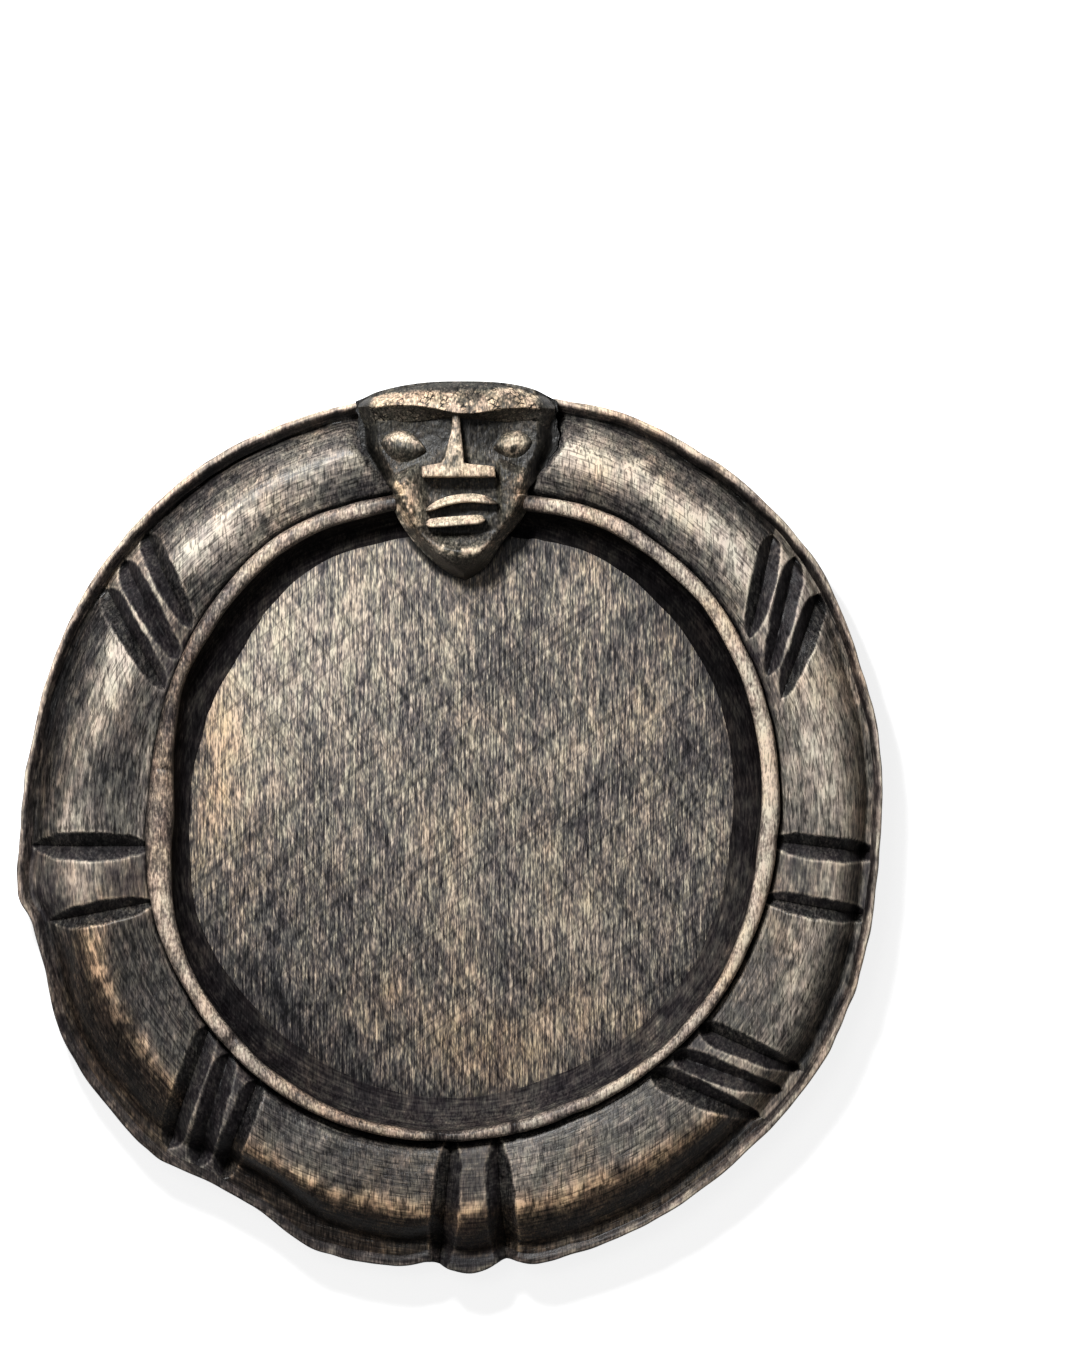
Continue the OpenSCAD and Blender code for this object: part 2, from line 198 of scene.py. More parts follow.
# Directions, from the well's middle, of the nicks across the bead, with their width and depth
BEAD_NICKS = [(224.7, 1.3, 1.8), (266.4, 0.9, 1.4), (280.0, 0.7, 1.2), (171.0, 0.5, 0.5)]

# The head, measured down from the crown and out from a middle line that leans a little. Where there are
# two values, they are for its left and right side
FACE_LEAN = 0.043
CROWN_RISE = 6.5
CROWN_SQUARENESS = (2.2, 3.2)
TEMPLE_DROP = 20
JAW_DROP = 39
JAW_W = 48
FACE_HALF = 30
BROW_HALF = 34
BROW_INSET = 0.3
RECESS_DEPTH = 6
CHIN_DROP = 59
# How deep the right jaw is cut in, how far below the crown, and how far that spreads
JAW_CUT = (3.2, 55, 8)
# The gutter beside the head, which holds painted shade: its width and depth, and how far the bead has
# painted shade there
HEAD_GUTTER = (4.5, 2.6)
GUTTER_DEPTH = 2.5
BEAD_HEAD_SHADE = (10, 11)
# How far the cove and the bead run on under the head
COVE_UNDER_HEAD = 7
BEAD_UNDER_HEAD = 1.5
# How far below the crown the nose starts, flares and ends
NOSE_DROPS = (10.8, 29.7, 33.3)
# Each eye's side, length, width and distance below the crown
EYE_ACROSS = 18.8
EYES = {"eye_left": (-1, 15.8, 11.8, 22.7), "eye_right": (1, 13.6, 10.4, 22.0)}
# Each lip's half length, middle, thickness, bend, lean and how blunt its ends are
MOUTH_BARS = {
    "upper_lip": (12.5, (0.3, 40.5), 3.0, 2.9, -1.3, 4.5),
    "lower_lip": (10.4, (-2.0, 48.3), 3.3, 0.1, -0.8, 8.0),
}
# Spots of the cheeks and jaw that stand proud and are rubbed pale: amount, place and spread
PROUD_SPOTS = [
    (1.15, (-18.5, 43.5), (4.5, 8)), (0.7, (-21, 36), (2.5, 2.5)), (0.8, (21.2, 35), (2, 3.4)),
    (0.75, (20, 40), (2, 2.8)), (0.55, (17, 46), (1.5, 4)), (0.7, (14.3, 50.6), (1.3, 1.3)),
    (0.5, (-15.5, 52), (2, 4)),
]

# Walls keep this share of the wear, darkness and warmth above them, and edges sharper than this stay
# sharp
WALL_TONE = (0.4, 1, 1)
SHARP_DEGREES = 55

# Large odd numbers that scatter the noise, and the bits of them that are kept
SCATTER = (374761393, 668265263, 974634777, 1274126177)
BITS = 0xFFFFFFFF


def smooth(t):
    """Eases from 0 to 1 as t goes from 0 to 1."""
    t = np.clip(t, 0, 1)
    return t * t * (3 - 2 * t)


def ramp(value, start, end):
    """Eases from 0 to 1 as value goes from start to end."""
    return smooth((value - start) / (end - start))


def bell(value, middle, spread):
    """1 at the middle, and soon 0 beyond the spread."""
    return np.exp(-((value - middle) / spread) ** 2)


def mound(x, y, middle, spread):
    """A round bell over a plane."""
    return bell(x, middle[0], spread[0]) * bell(y, middle[1], spread[1])


def lattice(i, j, seed):
    """A repeatable number from -1 to 1 for each point of a square lattice."""
    for_i, for_j, for_seed, stir = SCATTER
    mixed = (i * for_i + j * for_j + seed * for_seed) & BITS
    mixed = ((mixed ^ (mixed >> 13)) * stir) & BITS
    return (mixed ^ (mixed >> 16)) / (BITS / 2) - 1


def noise(x, y, size, seed):
    """Smooth unevenness from -1 to 1, with bumps of about that size. The seed picks one pattern."""
    u, v = x / size, y / size
    i, j = np.floor(u).astype(np.int64), np.floor(v).astype(np.int64)
    a, b = smooth(u - i), smooth(v - j)
    near = lattice(i, j, seed) * (1 - a) + lattice(i + 1, j, seed) * a
    far = lattice(i, j + 1, seed) * (1 - a) + lattice(i + 1, j + 1, seed) * a
    return near * (1 - b) + far * b


def knife_marks(x, y, amount):
    """The uneven finish that hand carving leaves."""
    return amount * (noise(x, y, 15, 1) + 0.45 * noise(x, y, 6, 2) + 0.18 * noise(x, y, 2.2, 3))


def turn_from(angle, at):
    """Degrees from a direction, between -180 and 180."""
    return (np.degrees(angle) - at + 180) % 360 - 180


def swells(angle, places):
    """Sum of the rises that stand in those directions round the tray."""
    total = np.zeros_like(angle)
    for at, spread, rise in places:
        total = total + rise * bell(turn_from(angle, at), 0, spread)
    return total


def polar(r, angle, centre=(0, 0)):
    """The point at a distance and direction from a centre."""
    return centre[0] + r * np.cos(angle), centre[1] + r * np.sin(angle)


def round_noise(radius, angle, size, seed):
    """Unevenness along a circle."""
    return noise(*polar(radius, angle), size, seed)


def reach(centre, radius, angle):
    """Distance from the tray's middle to a circle, in that direction."""
    along = centre[0] * np.cos(angle) + centre[1] * np.sin(angle)
    return along + np.sqrt(radius ** 2 - centre @ centre + along ** 2)


def edge_radius(angle):
    """Distance to the outer edge, which runs between its turns with the corners a little rounded."""
    directions, distances = zip(*EDGE_TURNS)
    total = 0
    for shift in EDGE_ROUNDING:
        total = total + np.interp(np.degrees(angle) + shift, directions, distances, period=360)
    return total / len(EDGE_ROUNDING) + 0.3 * round_noise(TRAY_R, angle, 7, 11)


def lip_inner_radius(angle):
    """Distance to the inner side of the raised edge."""
    width = LIP_W + swells(angle, LIP_WIDTH_SWELLS) + 0.5 * round_noise(TRAY_R, angle, 17, 12)
    return edge_radius(angle) - width


def foot_radius(angle):
    """Distance to the foot of the rim's outer slope."""
    return edge_radius(angle) - LEDGE_W - swells(angle, LEDGE_SWELLS)


def crest_radius(angle):
    """Distance to the highest line of the rim."""
    return reach(CREST_CENTRE, CREST_R, angle) + 0.8 * round_noise(TRAY_R, angle, 22, 13)


def bead_outer(direction):
    """Distance from the well's middle to the bead's outer edge."""
    return BEAD_R + swells(direction, BEAD_SWELLS) + 0.3 * round_noise(BEAD_R, direction, 8, 55)


def bead_inner(direction):
    """Distance from the well's middle to the bead's inner edge."""
    width = BEAD_W + swells(direction, BEAD_WIDTH_SWELLS) + 0.4 * round_noise(BEAD_R, direction, 12, 56)
    return BEAD_R + swells(direction, BEAD_SWELLS) - width


def floor_radius(direction):
    """Distance from the well's middle to the edge of its flat floor."""
    return bead_inner(direction) - COVE_W - swells(direction, COVE_SWELLS)


def bead_outer_radius(angle):
    """Distance from the tray's middle to the bead's outer edge."""
    r = reach(WELL, BEAD_R, angle)
    for _ in range(5):
        direction = np.arctan2(r * np.sin(angle) - WELL[1], r * np.cos(angle) - WELL[0])
        r = reach(WELL, bead_outer(direction), angle)
    return r


# Building closed meshes from grids


def loop_of(grid):
    """The values round a grid's border, in order."""
    return np.concatenate([grid[:-1, 0], grid[-1, :-1], grid[:0:-1, -1], grid[0, :0:-1]])


def cap_faces(first, columns, rows):
    """Faces that close the bottom of a grid's border loop, whose vertices start at first."""
    low = np.arange(columns) + first
    high = first + columns + rows - 2 + np.arange(columns)[::-1]
    total = 2 * (columns + rows) - 4
    right = list(range(first + columns - 1, first + columns + rows - 1))
    left = [first + k % total for k in range(2 * columns + rows - 3, total + 1)]
    faces = [[low[k], high[k], high[k + 1], low[k + 1]] for k in range(1, columns - 2)]
    faces.append([high[-2], low[-2]] + right)
    faces.append([low[1], high[1]] + left)
    return faces


def add_object(name, data):
    """A new object in the scene."""
    thing = bpy.data.objects.new(name, data)
    bpy.context.scene.collection.objects.link(thing)
    return thing


def toned_mesh(name, points, faces, tones):
    """A mesh that is smooth apart from its sharp edges, with a tone for each point."""
    mesh = bpy.data.meshes.new(name)
    mesh.from_pydata((points * MM).tolist(), [], faces)
    layer = mesh.attributes.new("tone", "FLOAT_COLOR", "POINT")
    tones = np.column_stack([np.clip(tones, 0, 1), np.ones(len(tones))])
    layer.data.foreach_set("color", tones.ravel().astype(np.float32))
    mesh.polygons.foreach_set("use_smooth", np.ones(len(mesh.polygons), bool))
    mesh.set_sharp_from_angle(angle=math.radians(SHARP_DEGREES))
    mesh.update()
    return mesh


def solid(name, x, y, z, rings, tone):
    """A closed mesh with the grid on top and rings of border points below, the last one capped flat.
    tone holds wear, darkness and warmth for each grid point, the first two in places with painted light
    and shade."""
    columns, rows = x.shape
    index = np.arange(columns * rows).reshape(columns, rows)
    points = [np.stack([x.ravel(), y.ravel(), z.ravel()], 1)]
    tones = [np.stack([np.broadcast_to(t, x.shape).ravel() for t in tone], 1)]
    corners = [index[:-1, :-1], index[1:, :-1], index[1:, 1:], index[:-1, 1:]]
    faces = np.stack(corners, -1).reshape(-1, 4).tolist()
    border = above = loop_of(index)
    count = columns * rows
    for ring in rings:
        points.append(np.stack(np.broadcast_arrays(*ring), 1))
        tones.append(tones[0][border] * WALL_TONE)
        below = count + np.arange(len(above))
        after, after_below = np.roll(above, -1), np.roll(below, -1)
        faces += np.stack([above, below, after_below, after], 1).tolist()
        above = below
        count += len(below)
    faces += cap_faces(count - len(above), columns, rows)
    span = (x[1, 0] - x[0, 0]) * (y[0, 1] - y[0, 0]) - (x[0, 1] - x[0, 0]) * (y[1, 0] - y[0, 0])
    if span < 0:
        faces = [face[::-1] for face in faces]
    mesh = toned_mesh(name, np.concatenate(points), faces, np.concatenate(tones))
    return add_object(name, mesh)


def finish_piece(piece, node, material):
    """Puts a piece in its node's place."""
    piece.data.materials.append(material)
    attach(piece, "root")
    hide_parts(node)


def walled(name, x, y, z, base, tone, material):
    """A piece for the node of that name, whose sides go straight down to a flat base."""
    piece = solid(name, x, y, z, [(loop_of(x), loop_of(y), base)], tone)
    finish_piece(piece, name, material)


# The rim


def groove_frame(groove, x, y):
    """Distance along a groove as a share of its length, and distance across it."""
    inner, outer = np.array(groove[0]), np.array(groove[1])
    length = np.linalg.norm(outer - inner)
    along = (outer - inner) / length
    share = ((x - inner[0]) * along[0] + (y - inner[1]) * along[1]) / length
    across = (y - inner[1]) * along[0] - (x - inner[0]) * along[1]
    return share, across


def groove_depth(band, groove, x, y):
    """How deep a groove's two flanks lie below the rim's swell: less than 0 outside the groove."""
    share, across = groove_frame(groove, x, y)
    inner_end, outer_end, blunt = GROOVE_ENDS[band]
    share = np.clip(share, 0, 1)
    open_share = np.clip(1 - np.abs(2 * share - 1) ** blunt, 0, 1) ** 0.8
    taper = inner_end + (1 - inner_end) * smooth(share / 0.6)
    taper = taper * (outer_end + (1 - outer_end) * smooth((1 - share) / 0.6))
    half = groove[2] / 2 * open_share * taper + 0.35 * noise(x, y, 5, 21) + 0.15 * noise(x, y, 2, 22)
    return GROOVE_STEEP * (half - np.abs(across)) - 3 * (open_share == 0)


def head_gap(x, y):
    """How far outside the head's sides a point of the tray lies."""
    return np.abs(x - HEAD_X) - head_half(CROWN_Y - y, x - HEAD_X)


def beside_head(x, y, widths):
    """1 next to the head and 0 at those distances from its left and right side."""
    width = np.where(x < HEAD_X, *widths)
    return (1 - ramp(head_gap(x, y), 0, width)) * (y > 0)


def rim_place(x, y):
    """Direction and distance of points on the rim, the distances of its inner side, crest and foot there,
    and each point's share of the way up to the crest and down from it."""
    angle, r = np.arctan2(y, x), np.hypot(x, y)
    inner, crest, foot = bead_outer_radius(angle), crest_radius(angle), foot_radius(angle)
    up = np.clip((r - inner) / (crest - inner), 0, 1)
    down = np.clip((r - crest) / (foot - crest), 0, 1)
    return angle, r, inner, crest, foot, up, down


def bead_line(angle, r, inner):
    """Depth of the line cut along the bead's outer side, and how near to its middle each point is."""
    depth = LINE_DEPTH + swells(angle, BEAD_LINE_SWELLS)
    return depth, bell(r, inner, 0.9 * depth)


def valley_dye_and_shade(angle):
    """How dark the valley beside the raised edge is: dye, with the raised edge's painted shadow."""
    return 0.3 + 0.3 * swells(angle, VALLEY_SWELLS)


def groove_dye(depth):
    """How much each point belongs to a groove's cut, and how dark it is there."""
    cut = ramp(depth, 0.1, 1.0)
    return cut, 0.4 * cut + 0.22 * ramp(depth, 1.5, 4.5)


def rim_swell(x, y):
    """Height of the rim before its grooves are cut."""
    angle, r, inner, crest, foot, up, down = rim_place(x, y)
    rise = SHOULDER_Z + (CREST_Z - SHOULDER_Z) * (1 - (1 - up) ** 1.7)
    fall = VALLEY_Z + (CREST_Z - VALLEY_Z) * np.cos(down * math.pi / 2)
    z = np.where(r < crest, rise, fall)
    line, in_line = bead_line(angle, r, inner)
    z = z - line * in_line
    z = z - (VALLEY_DEPTH + swells(angle, VALLEY_SWELLS)) * bell(r, foot + 0.9, 1.1)
    z = z - GUTTER_DEPTH * beside_head(x, y, HEAD_GUTTER)
    return z + knife_marks(x, y, 0.3)


def rim_height(x, y):
    """Height of the carved rim, how far below its swell that is, and how near a sharp cut edge lies."""
    swell = rim_swell(x, y)
    heights = [swell]
    for band, grooves in GROOVES.items():
        heights += [swell - groove_depth(band, groove, x, y) for groove in grooves]
    heights = np.sort(np.stack(heights), 0)[:2]
    return heights[0], swell - heights[0], heights[1] - heights[0]


def broad_wear(x, y, place):
    """Wear where the rim has a broad pale band along its crest, as it has above and at the sides."""
    angle, r, _, crest, _, up, down = place
    pale_at = crest + swells(angle, PALE_SHIFT) + 2.4 * noise(x, y, 17, 33) + 1.6 * noise(x, y, 6, 39)
    pale_at = pale_at + 1.6 * noise(x, y, 2.4, 40)
    pale_spread = 7.2 + swells(angle, PALE_SPREAD)
    wear = 0.17 + 0.58 * bell(r, pale_at, pale_spread) + swells(angle, INNER_WEAR) * (1 - up)
    # The crest's extra wear is in two places also a painted sheen
    return wear + swells(angle, CREST_WEAR_AND_SHEEN) * bell(r, pale_at, 7) + swells(angle, OUTER_WEAR) * down


def narrow_wear(x, y, place):
    """Wear where the rim has a narrow ragged line along its crest, as it has below."""
    angle, r, _, crest, _, _, _ = place
    ragged = 0.4 + 0.6 * ramp(noise(x, y, 4, 36) + 0.8 * noise(x, y, 1.6, 38), -0.6, 0.6)
    comes_and_goes = 0.72 + 0.45 * noise(x, y, 13, 28)
    wear = 0.74 * bell(r, crest + 1 + 1.4 * noise(x, y, 9, 34), 3.2) * ragged * comes_and_goes
    # Below, the inner slope that faces the lamp is made paler: wear with painted light
    return wear + 0.13 + (0.08 + swells(angle, LOW_INNER_WEAR_AND_LIGHT)) * ramp(r, crest + 2, crest - 2)


def spot_wear_and_sheen(angle, r, crest):
    """Extra wear, with a painted sheen, on the spots that rubbing has left pale."""
    wear_and_sheen = np.zeros_like(r)
    for at, spread, out, width, amount in WEAR_AND_SHEEN_SPOTS:
        wear_and_sheen = wear_and_sheen + amount * bell(turn_from(angle, at), 0, spread) * bell(r, crest + out, width)
    return wear_and_sheen


def rim_tone(x, y, depth, edge, strip):
    """Wear, darkness and warmth over the rim. strip is the least wear that uncut wood has."""
    place = rim_place(x, y)
    angle, r, inner, crest, foot, _, down = place
    degrees = np.degrees(angle) % 360
    low = ramp(degrees, *LOW_STARTS) * (1 - ramp(degrees, *LOW_ENDS))
    wear = broad_wear(x, y, place) * (1 - low) + narrow_wear(x, y, place) * low
    wear = wear + swells(angle, PANEL_WEAR) * ramp(r, inner, inner + 6)
    wear = wear + 0.06 * noise(x, y, 14, 31) + 0.06 * noise(x, y, 4.5, 32) + 0.09 * noise(x, y, 1.8, 30)
    # The rubbed spots get extra wear and a painted sheen
    wear_and_sheen = spot_wear_and_sheen(angle, r, crest)
    wear = wear + wear_and_sheen
    strip = strip * ramp(r, inner - 2, inner + 16)
    wear = np.maximum(wear, strip + 0.16 * noise(x, y, 3.5, 29) * (strip > 0))
    _, in_line = bead_line(angle, r, inner)
    cut, dark = groove_dye(depth)
    ridge = bell(edge, 0, 0.5) * (1 - ramp(depth, 2.0, 4.5)) * (0.75 + 0.5 * noise(x, y, 6, 35))
    # Beside the head the rim is painted darker and less worn: painted shade in the gutter
    gutter = beside_head(x, y, HEAD_GUTTER)
    wear = wear * (1 - cut) + CUT_WEAR * cut + 0.25 * ridge - 0.3 * in_line
    wear = wear * (1 - gutter) + 0.14 * gutter
    # The valley is dark with dye and the raised edge's painted shadow
    valley = valley_dye_and_shade(angle) * bell(r, foot + 0.8, 1.4)
    dark = dark + 0.75 * in_line + valley + 0.25 * gutter
    # The low stretch's outer slope, facing away from the lamp, is darkened: dye with painted shade
    slope_dye_and_shade = 0.3 - swells(angle, SLOPE_LESS_DYE_AND_SHADE)
    dark = dark + slope_dye_and_shade * low * ramp(down, 0.15, 0.5) * (1 - cut)
    dark = dark * (1 - 0.6 * ridge)
    tan = low * bell(r, crest + 1.5, 4.5) + 0.85 * low * ramp(r, crest, crest + 4)
    # The rubbed spots' painted sheen is cooler, with less warmth
    warm = 0.22 + 0.25 * noise(x, y, 24, 37) - 1.2 * wear_and_sheen + 0.6 * tan * (strip == 0) - 0.3 * cut
    return wear, np.clip(dark, 0, 1), warm


def seam_on(groove):
    """Points along a groove's bottom line, out past both ends."""
    inner, outer = np.array(groove[0]), np.array(groove[1])
    return inner + np.linspace(-0.6, 1.8, SEAM_COUNT)[:, None] * (outer - inner)


def head_side(side):
    """Points up the side of the head, from inside the bead out past the tray's edge."""
    drops = np.linspace(46, -4, SEAM_COUNT)
    return np.stack([HEAD_X + side * head_half(drops, side), CROWN_Y - drops], 1)


def seam_angles(points, shares, near, inner_radius, outer_radius):
    """Direction of a seam line, near a given one, at each share of the way between two edges."""
    angle = np.arctan2(points[:, 1], points[:, 0])
    angle = near + (angle - near + math.pi) % (2 * math.pi) - math.pi
    inner, outer = inner_radius(angle), outer_radius(angle)
    across = (np.hypot(points[:, 0], points[:, 1]) - inner) / (outer - inner)
    return np.interp(shares, across, angle)


def sweep(first, last, radius):
    """Directions from one seam to another, in steps of the grid at that radius."""
    count = max(int(abs(first - last).max() * radius / GRID), 24)
    along = np.linspace(0, 1, count)[:, None]
    return first * (1 - along) + last * along


def rim_piece(name, start, end, material):
    """A piece of the rim between two seam lines, start being counter-clockwise of end. The bottom band
    has its own stretch of the raised edge."""
    outer_radius = edge_radius if name == "band_bottom" else lip_inner_radius
    width = LIP_W + CREST_R - BEAD_R + 12
    shares = np.linspace(0, 1, int(width / GRID))
    middle = (start + end) / 2
    heading = np.arctan2(middle[:, 1], middle[:, 0])[len(middle) // 2]
    first = seam_angles(start, shares, heading, bead_outer_radius, outer_radius)
    last = seam_angles(end, shares, heading, bead_outer_radius, outer_radius)
    angle = sweep(first, last, CREST_R)
    r = bead_outer_radius(angle) * (1 - shares) + outer_radius(angle) * shares
    x, y = polar(r, angle)
    z, depth, edge = rim_height(x, y)
    tone = rim_tone(x, y, depth, edge, STRIP_WEAR.get(name, 0))
    if name == "band_bottom":
        lip_inner = lip_inner_radius(angle)
        share = (r - lip_inner) / (edge_radius(angle) - lip_inner)
        lip_z, lip_tone = lip_surface(x, y, angle, np.clip(share, 0, 1))
        z = np.where(share > 0, lip_z, z)
        tone = [np.where(share > 0, lip_part, part) for lip_part, part in zip(lip_tone, tone)]
    walled(name, x, y, z, FLOOR_Z, tone, material)


def rim(dyed, dark):
    """Eight panels and the seven bands of grooves between them."""
    seams = [head_side(1)]
    for band, grooves in GROOVES.items():
        first, last = seam_on(grooves[0]), seam_on(grooves[-1])
        rim_piece(band, first, last, dark)
        seams += [first, last]
    seams.append(head_side(-1))
    for k in range(len(GROOVES) + 1):
        rim_piece(f"rim_panel_{k + 1}", seams[2 * k], seams[2 * k + 1], dyed)


# The well, bead, lip and board


def ring_angles(radius, under_head):
    """Directions round the well that leave the head's jaw out, counter-clockwise from its left side,
    apart from the stretch that runs on under the head."""
    half = math.asin((JAW_W / 2 - under_head) / radius)
    count = int((2 * math.pi - 2 * half) * radius / GRID)
    return np.linspace(math.pi / 2 + half, 2.5 * math.pi - half, count)[:, None]


def cove_wall(material):
    """The hollow wall round the floor, with a ledge on top for the bead."""
    angle = ring_angles(BEAD_R - BEAD_W, COVE_UNDER_HEAD)
    wall, outer = bead_inner(angle), bead_outer(angle)
    turn = np.linspace(-0.2, math.pi / 2, 34)
    r = wall - (wall - floor_radius(angle)) * (1 - np.sin(turn))
    up = FLOOR_Z + (WALL_Z - FLOOR_Z) * (1 - np.cos(turn)) - 0.9 * (turn < 0)
    r = np.concatenate([r, wall + 0.4, outer], 1)
    up = np.append(up, [WALL_Z, WALL_Z])
    x, y = polar(r, angle, WELL)
    height = (up - FLOOR_Z) / (WALL_Z - FLOOR_Z)
    z = up + 0.3 * noise(x, y, 5, 42) * bell(height, 0.35, 0.35)
    # lit paints light and shade round the cove: less dark and more worn where the lamp falls, darkest
    # where the bead shades it
    lit = swells(angle, COVE_LIT)
    wear = 0.14 + 0.1 * lit + 0.1 * noise(x, y, 9, 43) + 0.1 * noise(x, y, 3, 44)
    dark = 0.68 - lit * (0.26 + 0.1 * (1 - ramp(height, 0.0, 0.25)))
    walled("cove_wall", x, y, z, FLOOR_Z - 0.4, (wear, dark, 0.15), material)


def inner_bead(material):
    """The half-round bead on the wall, a little uneven and nicked."""
    angle = ring_angles(BEAD_R, BEAD_UNDER_HEAD)
    turn = np.linspace(0, math.pi, 21)
    inner, outer = bead_inner(angle), bead_outer(angle)
    aside = np.sign(np.cos(turn)) * np.abs(np.cos(turn)) ** 0.85
    r = (inner + outer) / 2 - (outer - inner) / 2 * aside
    lift = (BEAD_Z - WALL_Z) * np.sin(turn) ** 0.75
    x, y = polar(r, angle, WELL)
    nick = np.zeros_like(angle)
    for at, width, depth in BEAD_NICKS:
        nick = np.maximum(nick, depth * bell(np.degrees(angle) % 360, at, width))
    z = WALL_Z + np.maximum(lift - nick * np.sin(turn), 0)
    z = z + (knife_marks(x, y, 0.16) + 0.12 * noise(x, y, 3, 52)) * np.sin(turn)
    wear = 0.2 + 0.5 * np.sin(turn) ** 0.7 + swells(angle, BEAD_WEAR) + 0.22 * noise(x, y, 6, 53)
    # Next to the head the bead is painted darker and less worn, as the head's shade
    head_shade = beside_head(x, y, BEAD_HEAD_SHADE)
    dirt = 0.4 * np.minimum(nick, 1)
    wear = wear - dirt - 0.45 * head_shade
    dark = 0.5 * (1 - np.sin(turn) ** 0.4) + dirt + 0.5 * head_shade
    warm = 0.28 + 0.25 * noise(x, y, 25, 54) + swells(angle, BEAD_WARMTH)
    walled("inner_bead", x, y, z, WALL_Z - 1.2, (wear, dark, warm), material)


def lip_surface(x, y, angle, share):
    """Height and tone of the raised edge, share running from its inner side to the tray's edge."""
    rise = LIP_Z - VALLEY_Z + swells(angle, LIP_SWELLS)
    profile = ramp(share, -0.05, 0.6) - 0.55 * ramp(share, 0.8, 1.25)
    z = VALLEY_Z + rise * profile - 0.4 * ramp(share, 0.85, 1.0) + 0.3 * noise(x, y, 6, 61)
    cuts = [groove_depth("band_bottom", groove, x, y) for groove in GROOVES["band_bottom"]]
    depth = np.clip(np.max(cuts, 0), 0, z - FLOOR_Z - 1)
    cut, cut_dye = groove_dye(depth)
    worn = 0.68 + swells(angle, LIP_WEAR)
    pale = bell(share, 0.84, 0.27 + swells(angle, LIP_PALE_SWELLS))
    wear = (worn + 0.12) * pale + 0.14 * noise(x, y, 7, 62) + 0.14 * noise(x, y, 2.5, 64)
    wear = wear * (1 - cut) + CUT_WEAR * cut
    # The valley at the inner side is dark with dye and the raised edge's painted shadow
    dark = valley_dye_and_shade(angle) * bell(share, 0.1, 0.32) + 0.15 * ramp(share, 0.94, 1.0)
    dark = np.clip(dark + cut_dye, 0, 1)
    warm = 0.25 + 0.2 * noise(x, y, 30, 63)
    return z - depth, (wear, dark, warm)


def lip(name, head_end, groove, middle, material):
    """Half of the thin raised edge, between the head and a groove of the bottom band. head_end and
    middle are directions in degrees, the second about half way along."""
    share = np.linspace(0, 1, 15)
    first = np.full_like(share, math.radians(head_end))
    last = seam_angles(seam_on(groove), share, math.radians(middle), lip_inner_radius, edge_radius)
    angle = sweep(first, last, TRAY_R)
    inner, outer = lip_inner_radius(angle), edge_radius(angle)
    r = inner + (outer - inner) * share
    x, y = polar(r, angle)
    z, tone = lip_surface(x, y, angle, share)
    walled(name, x, y, z, FLOOR_Z, tone, material)


def floor_tone(x, y, around, beyond):
    """Wear, darkness and warmth of the floor. around is the direction from the well's middle, and beyond
    the distance outside the floor's edge."""
    left = ramp(WELL[0] - x, 50, 95) * ramp(y, -40, 20)
    # sunny and shady mix wear with painted light: a painted sheen, also cooler, on the upper left, and
    # painted shade in the darker places
    foot, sunny, dashes = [mound(x, y, *spot) for spot in (FOOT_SPOT, SUNNY_SPOT, DASHES_SPOT)]
    shady = 1.5 * mound(x, y, *SHADY_SPOT) + 0.14 * ramp(x + 0.6 * y, 40, 110)
    shady = shady + 0.6 * mound(x, y, *CHIN_SPOT)
    # rim_shade is the wall's painted shade on the floor near it: darker and less worn, except at the gaps
    shade_w = FLOOR_SHADE_W + swells(around, FLOOR_SHADE_SWELLS)
    rim_shade = ramp(beyond, -shade_w, 0) * (1 - swells(around, FLOOR_SHADE_GAPS))
    rim_shade = np.maximum(rim_shade, ramp(beyond, -0.3 * shade_w, 0.5))
    # A painted shadow darkens the floor round the chin
    chin_y = CROWN_Y - HEAD_LEN
    painted_jaw_shadow = (1 - ramp(head_gap(x, y), 0, 3.5)) * ramp(y, chin_y - 2.5, chin_y + 1)
    wear = 0.46 + 0.05 * left + 0.12 * dashes + 0.1 * foot + 0.2 * sunny - 0.15 * shady
    wear = wear + 0.08 * noise(x, y, 24, 73) + 0.06 * noise(x, y, 9, 74) - 0.12 * rim_shade
    wear = wear + 0.2 * mound(x, y, *PALE_SPOT)
    dark = 0.26 * rim_shade + 0.1 * shady + 0.75 * painted_jaw_shadow
    warm = 0.16 + 0.36 * foot + 0.32 * left - 0.3 * sunny + 0.08 * noise(x, y, 20, 76) + 0.2 * dashes
    return wear, dark, warm


def bevel_rings(x, y):
    """A grid's border, drawn in step by step down the bevel."""
    edge_x, edge_y = loop_of(x), loop_of(y)
    edge_r = np.hypot(edge_x, edge_y)
    rings = []
    for inset, height in BEVEL_STEPS:
        waver = 0 if height == 0 else 0.4
        shrink = 1 - (inset + waver * noise(edge_x, edge_y, 9, 75 + int(inset))) / edge_r
        rings.append((edge_x * shrink, edge_y * shrink, height))
    return rings


def board(material):
    """The board under everything: the floor of the well on top, a cut bevel round the underside."""
    steps = np.linspace(-1, 1, BOARD_COUNT)
    u, v = np.meshgrid(steps, steps, indexing="ij")
    disc_x, disc_y = u * np.sqrt(1 - v * v / 2), v * np.sqrt(1 - u * u / 2)
    radius = edge_radius(np.arctan2(disc_y, disc_x))
    x, y = disc_x * radius, disc_y * radius
    around = np.arctan2(y - WELL[1], x - WELL[0])
    beyond = np.hypot(x - WELL[0], y - WELL[1]) - floor_radius(around)
    inside = 1 - ramp(beyond, -1, 4)
    uneven = 0.12 * noise(x, y, 18, 71) + 0.05 * noise(x, y, 5, 72)
    z = FLOOR_Z + uneven * inside - 0.45 * (1 - inside) - 0.5 * mound(x, y, *FLOOR_PIT)
    piece = solid("base_board", x, y, z, bevel_rings(x, y), floor_tone(x, y, around, beyond))
    finish_piece(piece, "base_board", material)


# The head


